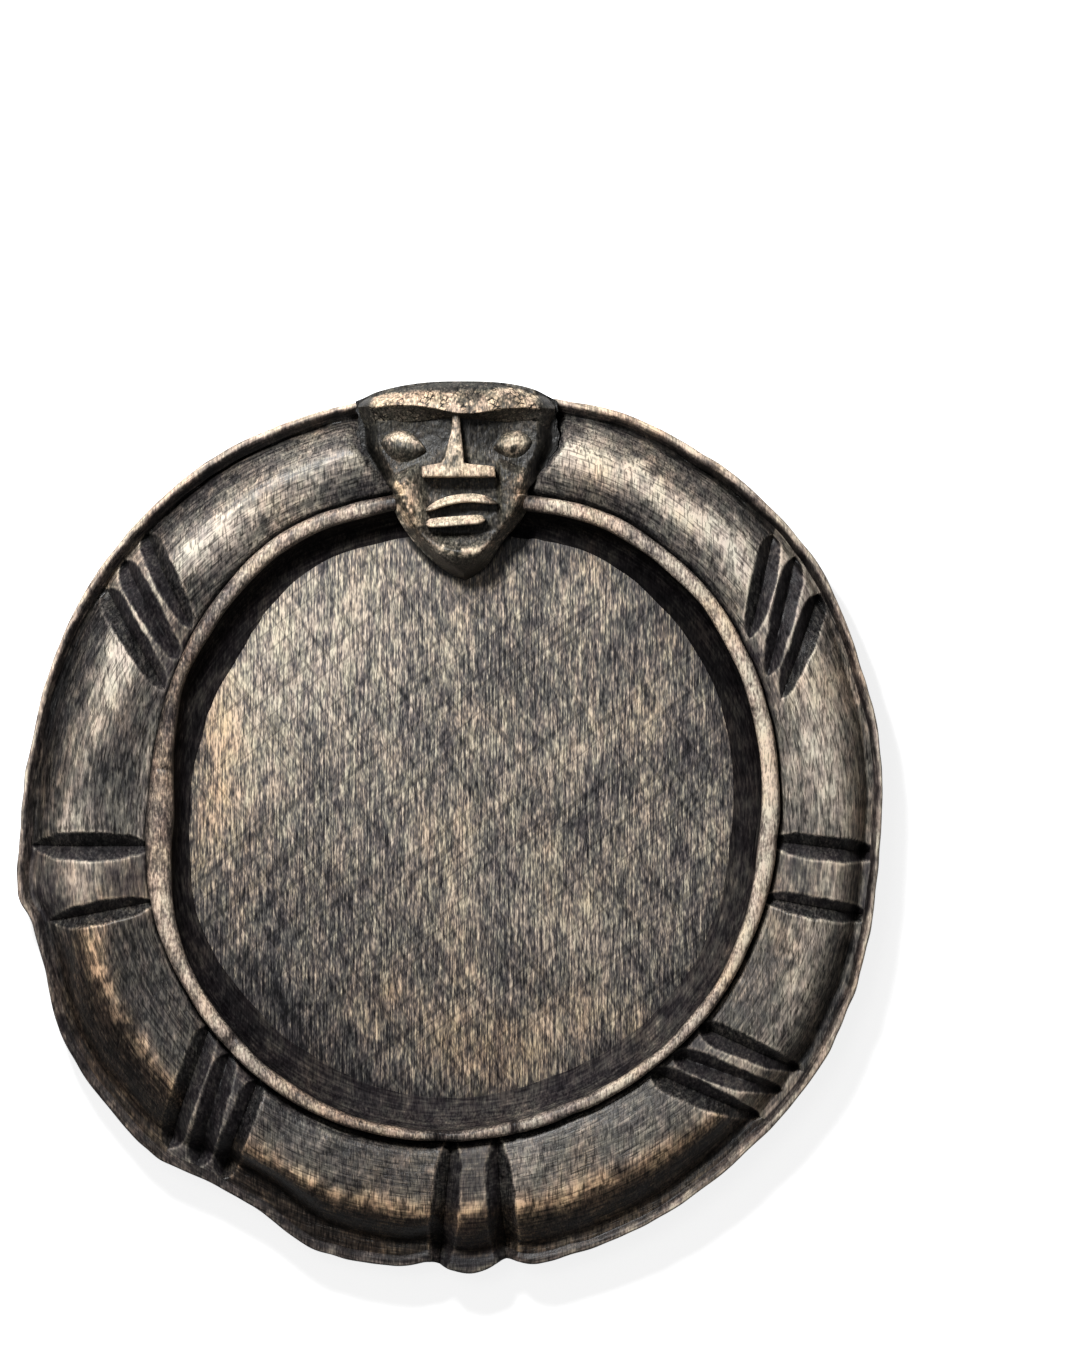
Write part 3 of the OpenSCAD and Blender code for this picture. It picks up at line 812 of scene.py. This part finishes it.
def head_half(drop, side):
    """Half the head's width at a distance below the crown. side is above 0 on the right, where the jaw
    is cut closer."""
    temple, jaw = HEAD_W / 2, JAW_W / 2
    upper = temple + (jaw - temple) * ramp(drop, TEMPLE_DROP, JAW_DROP)
    share = np.clip((drop - JAW_DROP) / (HEAD_LEN - JAW_DROP), 0, 1)
    wavy = 0.35 * np.sin(drop / 2.3) + 0.25 * np.sin(drop / 0.9 + 1)
    half = np.where(drop < JAW_DROP, upper + wavy - 0.4, jaw * (1 - share ** 1.6) ** 0.75 + 0.3)
    depth, at, spread = JAW_CUT
    return half - np.where(side > 0, depth * bell(drop, at, spread), 0)


def on_tray(across, drop):
    """Where a point of the face lies on the tray."""
    return HEAD_X + FACE_LEAN * (drop - HEAD_LEN / 2) + across, CROWN_Y - drop


def crown_drop(across):
    """How far the crown's line has fallen at a distance from the middle. Its right end is squarer."""
    return CROWN_RISE * np.abs(across / (HEAD_W / 2)) ** np.where(across < 0, *CROWN_SQUARENESS)


def brow_ridge(across):
    """How far below the crown the brow's pale ridge runs: lowest at the nose."""
    rise = 0.9 * ramp(across, 0, 12) + 0.6 * bell(across, -28, 4)
    return 8.7 + 2.9 * bell(across, 2, 10) + rise


def brow_foot(across):
    """How far below the crown the brow's slanting underside ends: low at the temples."""
    side = np.abs(across)
    return 12.9 + 1.1 * bell(side, 17, 8) + 4.0 * bell(side, 29.5, 5)


def face_half(drop):
    """Half the width of the face proper, inside the sunken strip beside the temples."""
    return FACE_HALF + (JAW_W / 2 - FACE_HALF) * ramp(drop, 20, 36)


def head_ground(across, drop):
    """Height of the head under its separate features, how dark it is in its hollows with dye and painted
    shade, and how proud each point is.
    """
    side = np.abs(across)
    left = across < 0
    crease = np.where(left, 21.1 + 0.495 * side, 20.9 + 0.4 * side)
    inner_fold = np.where(left, ramp(side, 10, 19), 0.6 * ramp(side, 12.3, 14.5))
    cheek = ramp(drop, crease - 1.5, crease + 4) * bell(side, 18, 10) * inner_fold
    cheek = cheek * (1 - ramp(drop, 43, 57))
    beside = ramp(side - face_half(drop), -3.0, 2.6) * (1 - ramp(drop, 34, 41))
    mouth = ramp(drop, 31, 34) * (1 - ramp(side, 11, 14)) * (1 - ramp(drop, 50, 54))
    arc = drop - CHIN_DROP + 2.6 * (across / 9.5) ** 2
    chin = bell(arc, 0, 2.4) * bell(across, 0, 13)
    under_lip = mound(across, drop, (-1, 52.2), (11, 1.9))
    z = FACE_Z + 3.8 * cheek - RECESS_DEPTH * beside + 2.6 * chin - 1.4 * under_lip - 0.6 * mouth
    rim_gap = np.maximum(head_half(drop, across) - side, 0)
    z = z - 7.5 * (1 - ramp(rim_gap, 0, 6)) ** 1.5 * ramp(drop, 35, 42)
    z = z - 8 * ramp(drop, 59.5, HEAD_LEN) ** 1.3
    socket = ramp(drop, 8, 12) * (1 - ramp(drop, crease - 3, crease + 2)) * (1 - beside)
    z = z - 1.3 * socket * mound(side, drop, (18, 18), (11, 8))
    gap = mound(across, drop, (0, 44.9), (11, 1.6))
    fold = bell(drop - crease, 0, 0.55) * bell(side, 18.5, 5.5)
    z = z - 0.5 * fold
    sunk = np.where(left, 0.82 - 0.3 * ramp(side, 8, 18), 0.74 - 0.15 * ramp(side, 8, 18))
    sunk = sunk - 0.18 * (1 - ramp(drop, 14, 20))
    # hollow is dye with painted shade: in the sockets under the brow, the strip beside the temples, the
    # mouth's recess, the cheek fold, below the upper lip, below the lower lip, the chin's underside and
    # the head's edge by the rim
    hollow = beside + sunk * socket + 0.26 * mouth + 0.5 * fold + 0.5 * under_lip + 0.55 * gap
    hollow = np.maximum(hollow, 0.5 * ramp(drop, 60, 66))
    hollow = np.maximum(hollow, (1 - ramp(rim_gap, 0, 1.8)) * (1 - ramp(drop, 34, 42)))
    proud = bell(arc, 0, 1.8) * bell(across, 0, 12)
    for amount, middle, spread in PROUD_SPOTS:
        proud = proud + amount * mound(across, drop, middle, spread)
    x, y = on_tray(across, drop)
    z = z + knife_marks(x, y, 0.28) + 0.1 * noise(x, y, 1.2, 80)
    return z, np.clip(hollow, 0, 1), proud


def head_block(material):
    """The mass of the head with sockets, cheeks, the hollow round the mouth, and the chin."""
    t = np.sin(np.linspace(0, math.pi / 2, 210))
    s = np.linspace(-1, 1, 190)[:, None]
    across = s * head_half(t * HEAD_LEN, s)
    drop = t * HEAD_LEN + crown_drop(across) * np.clip(1 - t / 0.35, 0, 1) ** 2
    z, hollow, proud = head_ground(across, drop)
    x, y = on_tray(across, drop)
    ragged = ramp(noise(x, y, 2.6, 86) + 0.6 * noise(x, y, 1.2, 87), -0.8, 0.5)
    # The hollows are painted dark, dye with painted shade, and less worn
    wear = 0.16 + 0.85 * np.minimum(proud, 1) * ragged + 0.1 * noise(x, y, 5, 81) - 0.1 * hollow
    tone = (wear, 0.9 * hollow, 0.14 + 0.3 * proud)
    walled("head_block", x, y, z, FLOOR_Z, tone, material)


def brow(material):
    """The forehead, which climbs from the crown to the brow's ridge and slants back under it into the
    sockets."""
    s = np.linspace(-1, 1, 190)[:, None]
    t = np.linspace(0, 1, 64)
    across = s * BROW_HALF
    top, foot = crown_drop(across) + BROW_INSET, brow_foot(across)
    drop = top + (foot - top) * t
    ridge = brow_ridge(across)
    up = np.clip((drop - top) / (ridge - top), 0, 1)
    under = np.clip((drop - ridge) / (foot - ridge), 0, 1)
    z = FACE_Z + 1.5 + (BROW_Z - FACE_Z - 1.5) * (1 - (1 - up) ** 1.8) - across ** 2 / 260
    z = z - 7.5 * under ** 0.8
    z = z - 1.6 * np.exp(top - drop) - 7.0 * np.exp((np.abs(across) - BROW_HALF) / 2.6)
    x, y = on_tray(across, drop)
    z = z + knife_marks(x, y, 0.28) + 0.12 * noise(x, y, 1.3, 79)
    ends = ramp(across, -31, -27.5) * (1 - ramp(across, 27, 30.5))
    strip = -0.2 + 2.8 * bell(across, 0, 18)
    band = ramp(drop - top + 0.7 * noise(x, y, 4, 88), strip, strip + 1.6)
    band = band * (1 - ramp(under, 0.0, 0.12)) * ends
    patches = 0.36 * ramp(noise(x, y, 7, 89) + 0.7 * noise(x, y, 2.5, 82), -0.4, 0.5)
    middle = mound(across, drop, (9, 5), (6, 3))
    # The slanting underside is made paler, painted light that lifts its shade
    wear = 0.16 + 0.16 * ramp(under, 0.0, 0.3) * ends + (0.27 + patches - 0.26 * middle) * band
    dark = 0.24 * (1 - band) + 0.18 * ramp(-across, 27.5, 31)
    tone = (wear, dark, 0.1 + 0.4 * band)
    walled("brow", x, y, z, FACE_Z - RECESS_DEPTH - 1, tone, material)


def nose(material):
    """A narrow ridge that runs down from the brow to a broad flat base."""
    start, flare, end = NOSE_DROPS
    drop = np.concatenate([np.linspace(start, flare - 1.2, 50), np.linspace(flare - 1.1, end, 40)])
    base = ramp(drop, flare - 1.2, flare + 0.3)
    left = 1.5 + 3.4 * ramp(drop, start, flare) ** 1.5 + 2.2 * ramp(drop, flare - 4, flare) ** 2
    right = 1.0 + 0.9 * ramp(drop, start, flare)
    left, right = left + (12.6 - left) * base, right + (12.4 - right) * base
    s = np.linspace(0, 1, 60)[:, None]
    across = -left + (left + right) * s
    z = NOSE_Z - 3.6 * (1 - ramp(drop, start - 4, flare)) - 0.5 * (1 - base) * (2 * s - 1) ** 2
    edge = np.minimum(np.minimum(across + left, right - across), end - drop)
    z = z - 0.6 * np.exp(-edge / 0.35) - 0.006 * across ** 2 * base
    drop = np.broadcast_to(drop, across.shape)
    x, y = on_tray(across, drop)
    z = z + knife_marks(x, y, 0.2) + 0.1 * noise(x, y, 1.3, 78)
    wear = 0.7 + 0.12 * base + 0.22 * noise(x, y, 2.4, 83) - 0.45 * (1 - ramp(drop, start, start + 5))
    walled("nose", x, y, z, FACE_Z - 2.5, (wear, 0.0, 0.3), material)


def eye(name, material):
    """A lens-shaped eye with its high lid towards the brow."""
    side, length, width, middle = EYES[name]
    u = np.linspace(-1, 1, 60)[:, None]
    v = np.linspace(-1, 1, 40)
    lens = np.maximum(1 - u * u, 0.004) ** 0.75
    tilt = 0.17 * side
    across = side * EYE_ACROSS + u * length / 2
    sag = np.where(v > 0, 1 + 0.3 * side * u, 1)
    drop = middle + v * lens * sag * width / 2 - tilt * u * length / 2
    ground, _, _ = head_ground(across, drop)
    dome = np.clip(1 - v ** 2, 0, 1) ** np.where(v < 0, 0.6, 1.7) * lens ** 0.7
    lid = bell(v, -0.5, 0.3) * lens
    z = ground - 0.4 + (EYE_Z - FACE_Z + 0.6) * dome + 0.7 * lid
    x, y = on_tray(across, drop)
    z = z + knife_marks(x, y, 0.2)
    ragged = ramp(noise(x, y, 2.2, 86) + 0.6 * noise(x, y, 1.1, 87), -0.8, 0.4)
    lid_pale, all_pale = bell(v, -0.55, 0.34) * lens, mound(u, v, (0.1, -0.1), (0.75, 0.75)) * ragged
    pale = lid_pale if side < 0 else all_pale
    wear = 0.18 + 0.8 * pale + 0.1 * noise(x, y, 3, 84) + 0.1 * mound(u, v, (-0.4, 0.3), (0.3, 0.4))
    dark = 0.3 * ramp(v, -0.3, 0.4) + 0.3 * (1 - lens)
    walled(name, x, y, z, FACE_Z - 3.5, (wear, dark, 0.2), material)


def mouth_bar(name, material):
    """A lip: an arched bar that thins to its ends, with its sharp edge towards the chin."""
    half, middle, thickness, bend, lean, blunt = MOUTH_BARS[name]
    u = np.linspace(-1, 1, 70)[:, None]
    v = np.linspace(-1, 1, 22)
    taper = np.maximum(1 - np.abs(u) ** blunt, 0.03) ** 0.6
    across = middle[0] + u * half
    drop = middle[1] + bend * u * u + lean * u + v * taper * thickness / 2
    z = MOUTH_Z + 0.6 - 1.4 * u ** 4 - 2.8 * ramp(-v, -0.5, 1.1) - 0.35 * ramp(v, 0.75, 1.0)
    x, y = on_tray(across, drop)
    z = z + knife_marks(x, y, 0.1)
    wear = 0.86 * taper + 0.2 * noise(x, y, 2.2, 85)
    dark = 0.3 * (1 - taper)
    walled(name, x, y, z, FACE_Z - 2, (wear, dark, 0.3), material)


# Materials


# Each noise of the wood: grain size in millimetres along x, y and z, detail, and shift
NOISES = {
    "fibre": ((0.8, 4.6, 1.4), 1.0, 3.1),
    "fine": ((0.42, 2.2, 0.7), 1.0, 7.7),
    "lines": ((0.5, 16.0, 0.8), 0.0, 23.9),
    "specks": ((0.9, 1.4, 0.9), 1.0, 31.7),
    "flecks": ((3.2, 6.5, 3.5), 2.0, 11.9),
    "patch": ((16, 30, 16), 2.0, 19.3),
}
MARKS = ((12, 0.9, 1.3), 2.0, 41.3)
CASTS = ((4.0, 11.0, 4.0), 2.0, 57.1)
STROKES = ((0.6, 4.2, 0.9), 1.0, 67.3)
RINGS = ((7.5, 0.7, 1.1), 1.0, 83.9)
SCRATCH_SIZE = (1.7, 70, 70)
SCRATCH_TURNS = (52, -38)
CRACK_SIZE = (2.2, 2.0, 2.2)
CRACK_WAVER = 3
WAVER_SIZE = 4

# Where the colours from dyed to bare wood lie, and what multiplies them
COLOUR_STOPS = (0.0, 0.24, 0.5, 0.7, 0.95)
PLAIN = (1.0, 1.0, 1.0)
WARM_TINT = (1.24, 0.96, 0.72)
COOL_TINT = (0.98, 0.985, 1.025)
RED_CAST = (1.03, 0.98, 0.98)
GREEN_CAST = (0.98, 1.01, 0.98)

# A mix node's sockets for two colours: the share, the colours and the result
MIX_INPUTS = (0, 6, 7)
MIX_OUTPUT = 2


def new_material(name):
    """A material, its node tree and the shader in it."""
    material = bpy.data.materials.new(name)
    material.use_nodes = True
    tree = material.node_tree
    return material, tree, tree.nodes["Principled BSDF"]


def link(tree, source, target):
    """Feeds a socket from another socket, or with a plain number, vector (list) or colour (tuple)."""
    if isinstance(source, (int, float, list)):
        target.default_value = source
    elif isinstance(source, tuple):
        target.default_value = (*source, 1)
    else:
        tree.links.new(source, target)


def set_inputs(tree, node, inputs):
    """Feeds a node's inputs by name."""
    for name, value in inputs.items():
        link(tree, value, node.inputs[name])


def add_node(tree, kind, inputs):
    """A new shader node with its inputs fed by name."""
    node = tree.nodes.new("ShaderNode" + kind)
    set_inputs(tree, node, inputs)
    return node


def math_node(tree, operation, *values, kind="Math"):
    """The result of one sum on sockets, numbers or vectors."""
    node = tree.nodes.new("ShaderNode" + kind)
    node.operation = operation
    for socket, value in zip(node.inputs, values):
        link(tree, value, socket)
    return node.outputs[0]


def times(tree, first, second):
    """The product of two sockets or numbers."""
    return math_node(tree, "MULTIPLY", first, second)


def scaled(tree, place, size, shift=0.0):
    """A place counted in steps of that size in millimetres along x, y and z, and shifted."""
    steps = [1 / (s * MM) for s in size]
    shifts = [shift, shift * 0.7, shift * 1.3]
    return add_node(tree, "Mapping", {"Vector": place, "Scale": steps, "Location": shifts}).outputs[0]


def turned(tree, place, degrees):
    """The same place in axes turned about z."""
    turn = [0, 0, math.radians(degrees)]
    return add_node(tree, "Mapping", {"Vector": place, "Rotation": turn}).outputs[0]


def streaks(tree, place, size, detail, shift):
    """Noise whose grains have that size in millimetres along x, y and z."""
    place = scaled(tree, place, size, shift)
    inputs = {"Vector": place, "Scale": 1, "Detail": detail, "Roughness": 0.55}
    return add_node(tree, "TexNoise", inputs).outputs["Fac"]


def eased(tree, value, start, end, low=0.0, high=1.0):
    """Maps a value smoothly from start..end to low..high."""
    inputs = {"Value": value, "From Min": start, "From Max": end, "To Min": low, "To Max": high}
    node = add_node(tree, "MapRange", inputs)
    node.interpolation_type = "SMOOTHSTEP"
    return node.outputs[0]


def mixed(tree, share, first, second, blend="MIX"):
    """Mixes two colours, each a socket or a colour."""
    node = tree.nodes.new("ShaderNodeMix")
    node.data_type = "RGBA"
    node.blend_type = blend
    for k, part in zip(MIX_INPUTS, (share, first, second)):
        link(tree, part, node.inputs[k])
    return node.outputs[MIX_OUTPUT]


def from_srgb(red, green, blue):
    """A colour as seen on screen, from 0 to 255, turned to linear light."""
    parts = [c / 255 for c in (red, green, blue)]
    return tuple(c / 12.92 if c <= 0.04045 else ((c + 0.055) / 1.055) ** 2.4 for c in parts)


def weighted(tree, parts):
    """Sum of noises about their middle, each with its weight, about one half."""
    total = 0.5
    for value, weight in parts:
        part = times(tree, math_node(tree, "SUBTRACT", value, 0.5), weight)
        total = math_node(tree, "ADD", total, part)
    return total


def colour_ramp(tree, value, colours):
    """A colour for each value, from on-screen colours at the stops."""
    node = add_node(tree, "ValToRGB", {"Fac": value})
    elements = node.color_ramp.elements
    elements.remove(elements[0])
    for k, (at, colour) in enumerate(zip(COLOUR_STOPS, colours)):
        stop = elements[0] if k == 0 else elements.new(at)
        stop.position = at
        stop.color = (*from_srgb(*colour), 1)
    return node.outputs[0]


def place_round(tree, place):
    """Distance round the tray, distance out and height, with the join under the head."""
    x, y, z = add_node(tree, "SeparateXYZ", {"Vector": place}).outputs
    turn = math_node(tree, "ARCTAN2", x, times(tree, y, -1.0))
    out = math_node(tree, "SQRT", math_node(tree, "ADD", times(tree, x, x), times(tree, y, y)))
    around = times(tree, turn, CREST_R * MM)
    return add_node(tree, "CombineXYZ", {"X": around, "Y": out, "Z": z}).outputs[0]


def crack_net(tree, place):
    """Distance from the nearest crack of a wavering net."""
    waver = add_node(tree, "TexNoise", {"Vector": place, "Scale": 1 / (WAVER_SIZE * MM)}).outputs["Color"]
    bent = math_node(tree, "MULTIPLY_ADD", waver, [CRACK_WAVER * MM] * 3, place, kind="VectorMath")
    cells = add_node(tree, "TexVoronoi", {"Vector": scaled(tree, bent, CRACK_SIZE), "Scale": 1})
    cells.feature = "DISTANCE_TO_EDGE"
    return cells.outputs["Distance"]


def tinted(tree, place, noises, colour, warm):
    """A colour made warm or cool in patches, and a little red or green along the grain."""
    patches = weighted(tree, [(noises["patch"], 0.9), (noises["flecks"], 0.5)])
    hue = math_node(tree, "ADD", warm, patches)
    tint = mixed(tree, eased(tree, hue, 0.55, 1.6), PLAIN, WARM_TINT)
    tint = mixed(tree, eased(tree, hue, 0.35, 0.65, 1.0, 0.0), tint, COOL_TINT)
    cast = eased(tree, streaks(tree, place, *CASTS), 0.35, 0.65)
    cast = mixed(tree, cast, RED_CAST, GREEN_CAST)
    return mixed(tree, 1.0, mixed(tree, 1.0, colour, tint, "MULTIPLY"), cast, "MULTIPLY")


def dark_marks(tree, place, flecks, strokes, ring, cracks, scratches):
    """1 on clear wood, and less in pores along the grain, marks round the tray, cracks and scratches."""
    net = eased(tree, streaks(tree, place, *STROKES), 0.38, 0.44, 1.0 - strokes, 1.0)
    if ring:
        around = streaks(tree, place_round(tree, place), *RINGS)
        net = times(tree, net, eased(tree, around, 0.36, 0.42, 1.0 - ring, 1.0))
    if cracks:
        depth = times(tree, eased(tree, flecks, 0.4, 0.62), cracks)
        line = eased(tree, crack_net(tree, place), 0.03, 0.15, 1.0, 0.0)
        net = times(tree, net, math_node(tree, "SUBTRACT", 1.0, times(tree, line, depth)))
    if scratches:
        for degrees in SCRATCH_TURNS:
            line = streaks(tree, turned(tree, place, degrees), SCRATCH_SIZE, 0.0, degrees)
            net = times(tree, net, eased(tree, line, 0.64, 0.7, 1.0, 1.0 - scratches))
    return net


def carved_wood(name, colours, gloss, shine, grain, strokes, ring=0, cracks=0, scratches=0):
    """Dyed wood rubbed back to pale fibres, with the grain along y. colours run from dyed to bare, grain
    gives the weight of each noise, and the rest say how dark its marks are."""
    material, tree, shader = new_material(name)
    place = tree.nodes.new("ShaderNodeTexCoord").outputs["Object"]
    tone = tree.nodes.new("ShaderNodeVertexColor")
    tone.layer_name = "tone"
    parts = add_node(tree, "SeparateColor", {"Color": tone.outputs["Color"]})
    wear, dark, warm = parts.outputs

    noises = {key: streaks(tree, place, *NOISES[key]) for key in NOISES}
    if "marks" in grain:
        noises["marks"] = streaks(tree, place_round(tree, place), *MARKS)
    value = weighted(tree, [(noises[key], weight) for key, weight in grain.items()])
    # wear makes the wood paler; in places it holds painted light
    rubbed = times(tree, math_node(tree, "SUBTRACT", wear, 0.45), 0.8)
    worn = math_node(tree, "ADD", value, rubbed)
    colour = tinted(tree, place, noises, colour_ramp(tree, worn, colours), warm)
    net = dark_marks(tree, place, noises["flecks"], strokes, ring, cracks, scratches)
    # dark scales the colour down: dye, and in places painted shade
    shade = tree.nodes.new("ShaderNodeVectorMath")
    shade.operation = "SCALE"
    link(tree, colour, shade.inputs[0])
    link(tree, times(tree, eased(tree, dark, 0.0, 1.0, 1.0, 0.1), net), shade.inputs["Scale"])
    dull = weighted(tree, [(worn, 0.6), (noises["flecks"], 0.6)])
    relief = {"Strength": 0.5, "Distance": 0.3 * MM, "Height": times(tree, value, net)}
    set_inputs(tree, shader, {
        "Base Color": shade.outputs[0],
        "Roughness": eased(tree, dull, 0.0, 1.0, gloss, gloss + 0.2),
        "Specular IOR Level": shine,
        "Normal": add_node(tree, "Bump", relief).outputs[0],
    })
    return material


# The weight of each noise, and the on-screen colours from dyed to bare
FLOOR_GRAIN = {"fibre": 1.0, "fine": 1.0, "lines": 0.7, "flecks": 0.5, "patch": 0.5}
RIM_GRAIN = {
    "fibre": 0.35, "fine": 0.4, "lines": 0.2, "specks": 0.15, "flecks": 0.5, "patch": 0.3, "marks": 0.75,
}
FACE_GRAIN = {"fibre": 0.3, "fine": 0.7, "specks": 0.8, "flecks": 0.45}
LIP_GRAIN = {"fibre": 0.35, "fine": 0.5, "specks": 0.3, "flecks": 0.6, "patch": 0.3, "marks": 0.7}
BEAD_GRAIN = {"fibre": 0.4, "fine": 0.8, "specks": 0.7, "flecks": 0.6, "patch": 0.3, "marks": 0.3}

FLOOR_COLOURS = [(27, 26, 29), (60, 58, 60), (110, 105, 101), (168, 157, 142), (230, 217, 195)]
DYED_COLOURS = [(26, 25, 26), (56, 54, 54), (110, 105, 99), (166, 156, 144), (230, 218, 200)]
WORN_COLOURS = [(34, 31, 32), (66, 60, 58), (122, 112, 105), (180, 165, 151), (240, 226, 206)]
FACE_COLOURS = [(26, 25, 24), (56, 54, 49), (110, 104, 94), (180, 164, 146), (246, 229, 205)]
DARK_COLOURS = [(26, 23, 26), (54, 50, 52), (98, 93, 89), (152, 142, 131), (216, 203, 185)]

FLOOR_WOOD = carved_wood("floor_wood", FLOOR_COLOURS, 0.34, 0.3, FLOOR_GRAIN, 0.45, scratches=0.35)
RIM_WOOD = carved_wood("rim_wood", DYED_COLOURS, 0.3, 0.32, RIM_GRAIN, 0.62, ring=0.55)
FACE_WOOD = carved_wood("face_wood", FACE_COLOURS, 0.38, 0.3, FACE_GRAIN, 0.3, cracks=0.5)
NOSE_WOOD = carved_wood("nose_wood", FACE_COLOURS, 0.4, 0.3, FACE_GRAIN, 0.3, cracks=0.35)
BROW_WOOD = carved_wood("brow_wood", FACE_COLOURS, 0.4, 0.3, FACE_GRAIN, 0.3, cracks=1.0)
BEAD_WOOD = carved_wood("bead_wood", WORN_COLOURS, 0.38, 0.3, BEAD_GRAIN, 0.5)
LIP_WOOD = carved_wood("lip_wood", WORN_COLOURS, 0.38, 0.3, LIP_GRAIN, 0.45, ring=0.4)
COVE_WOOD = carved_wood("cove_wood", DARK_COLOURS, 0.6, 0.04, RIM_GRAIN, 0.3)
BAND_WOOD = carved_wood("band_wood", DARK_COLOURS, 0.42, 0.28, RIM_GRAIN, 0.4)

board(FLOOR_WOOD)
cove_wall(COVE_WOOD)
inner_bead(BEAD_WOOD)
lip("lip_right", 76.5, GROOVES["band_bottom"][0], 0, LIP_WOOD)
lip("lip_left", 101.5, GROOVES["band_bottom"][-1], 180, LIP_WOOD)
rim(RIM_WOOD, BAND_WOOD)
head_block(FACE_WOOD)
brow(BROW_WOOD)
nose(NOSE_WOOD)
for eye_name in EYES:
    eye(eye_name, FACE_WOOD)
for lip_name in MOUTH_BARS:
    mouth_bar(lip_name, NOSE_WOOD)


# The stage: floor, light and camera


# Half the floor's width in metres, its colour, and the glow that lifts it to white for the camera
FLOOR_HALF = 3
FLOOR_GREY = (0.8, 0.8, 0.8)
FLOOR_GLOW = 0.82


def stage_floor():
    """A plain pale floor that the tray lies on."""
    half = FLOOR_HALF
    mesh = bpy.data.meshes.new("stage_floor")
    corners = [(-half, -half, 0), (half, -half, 0), (half, half, 0), (-half, half, 0)]
    mesh.from_pydata(corners, [], [(0, 1, 2, 3)])
    material, tree, shader = new_material("pale_floor")
    seen = tree.nodes.new("ShaderNodeLightPath").outputs["Is Camera Ray"]
    set_inputs(tree, shader, {
        "Base Color": FLOOR_GREY,
        "Roughness": 0.9,
        "Specular IOR Level": 0.1,
        "Emission Color": PLAIN,
        "Emission Strength": times(tree, seen, FLOOR_GLOW),
    })
    mesh.materials.append(material)
    floor = add_object("stage_floor", mesh)


def area_light(name, place, size, power):
    """A soft square lamp that faces the tray: place and size in metres, power in watts."""
    lamp = bpy.data.lights.new(name, "AREA")
    lamp.shape = "SQUARE"
    lamp.size = size
    lamp.energy = power
    holder = add_object(name, lamp)
    holder.location = place
    aim = -holder.location
    holder.rotation_euler = aim.to_track_quat("-Z", "Y").to_euler()


def world_light(strength):
    """Dim light from all round, with plain white where the camera sees past the floor."""
    world = bpy.data.worlds.new("studio")
    world.use_nodes = True
    tree = world.node_tree
    background = tree.nodes["Background"]
    seen = tree.nodes.new("ShaderNodeLightPath").outputs["Is Camera Ray"]
    glow = math_node(tree, "MAXIMUM", seen, strength)
    set_inputs(tree, background, {"Color": PLAIN, "Strength": glow})
    bpy.context.scene.world = world


def camera():
    """Looks straight down, framed as in the photograph."""
    distance = 1200
    view_height = 468
    centre = (31.2, 54.1)
    focus_z = 20
    lens = bpy.data.cameras.new("camera")
    lens.sensor_fit = "VERTICAL"
    lens.sensor_height = 36
    lens.lens = lens.sensor_height * distance / view_height
    holder = add_object("camera", lens)
    holder.location = (centre[0] * MM, centre[1] * MM, (focus_z + distance) * MM)
    bpy.context.scene.camera = holder


stage_floor()
area_light("key", (-0.16, 0.38, 0.48), 0.12, 4.7)
area_light("overhead", (-0.17, 0.14, 0.8), 0.22, 0.3)
world_light(0.08)
camera()
bpy.context.scene.view_settings.view_transform = "Standard"
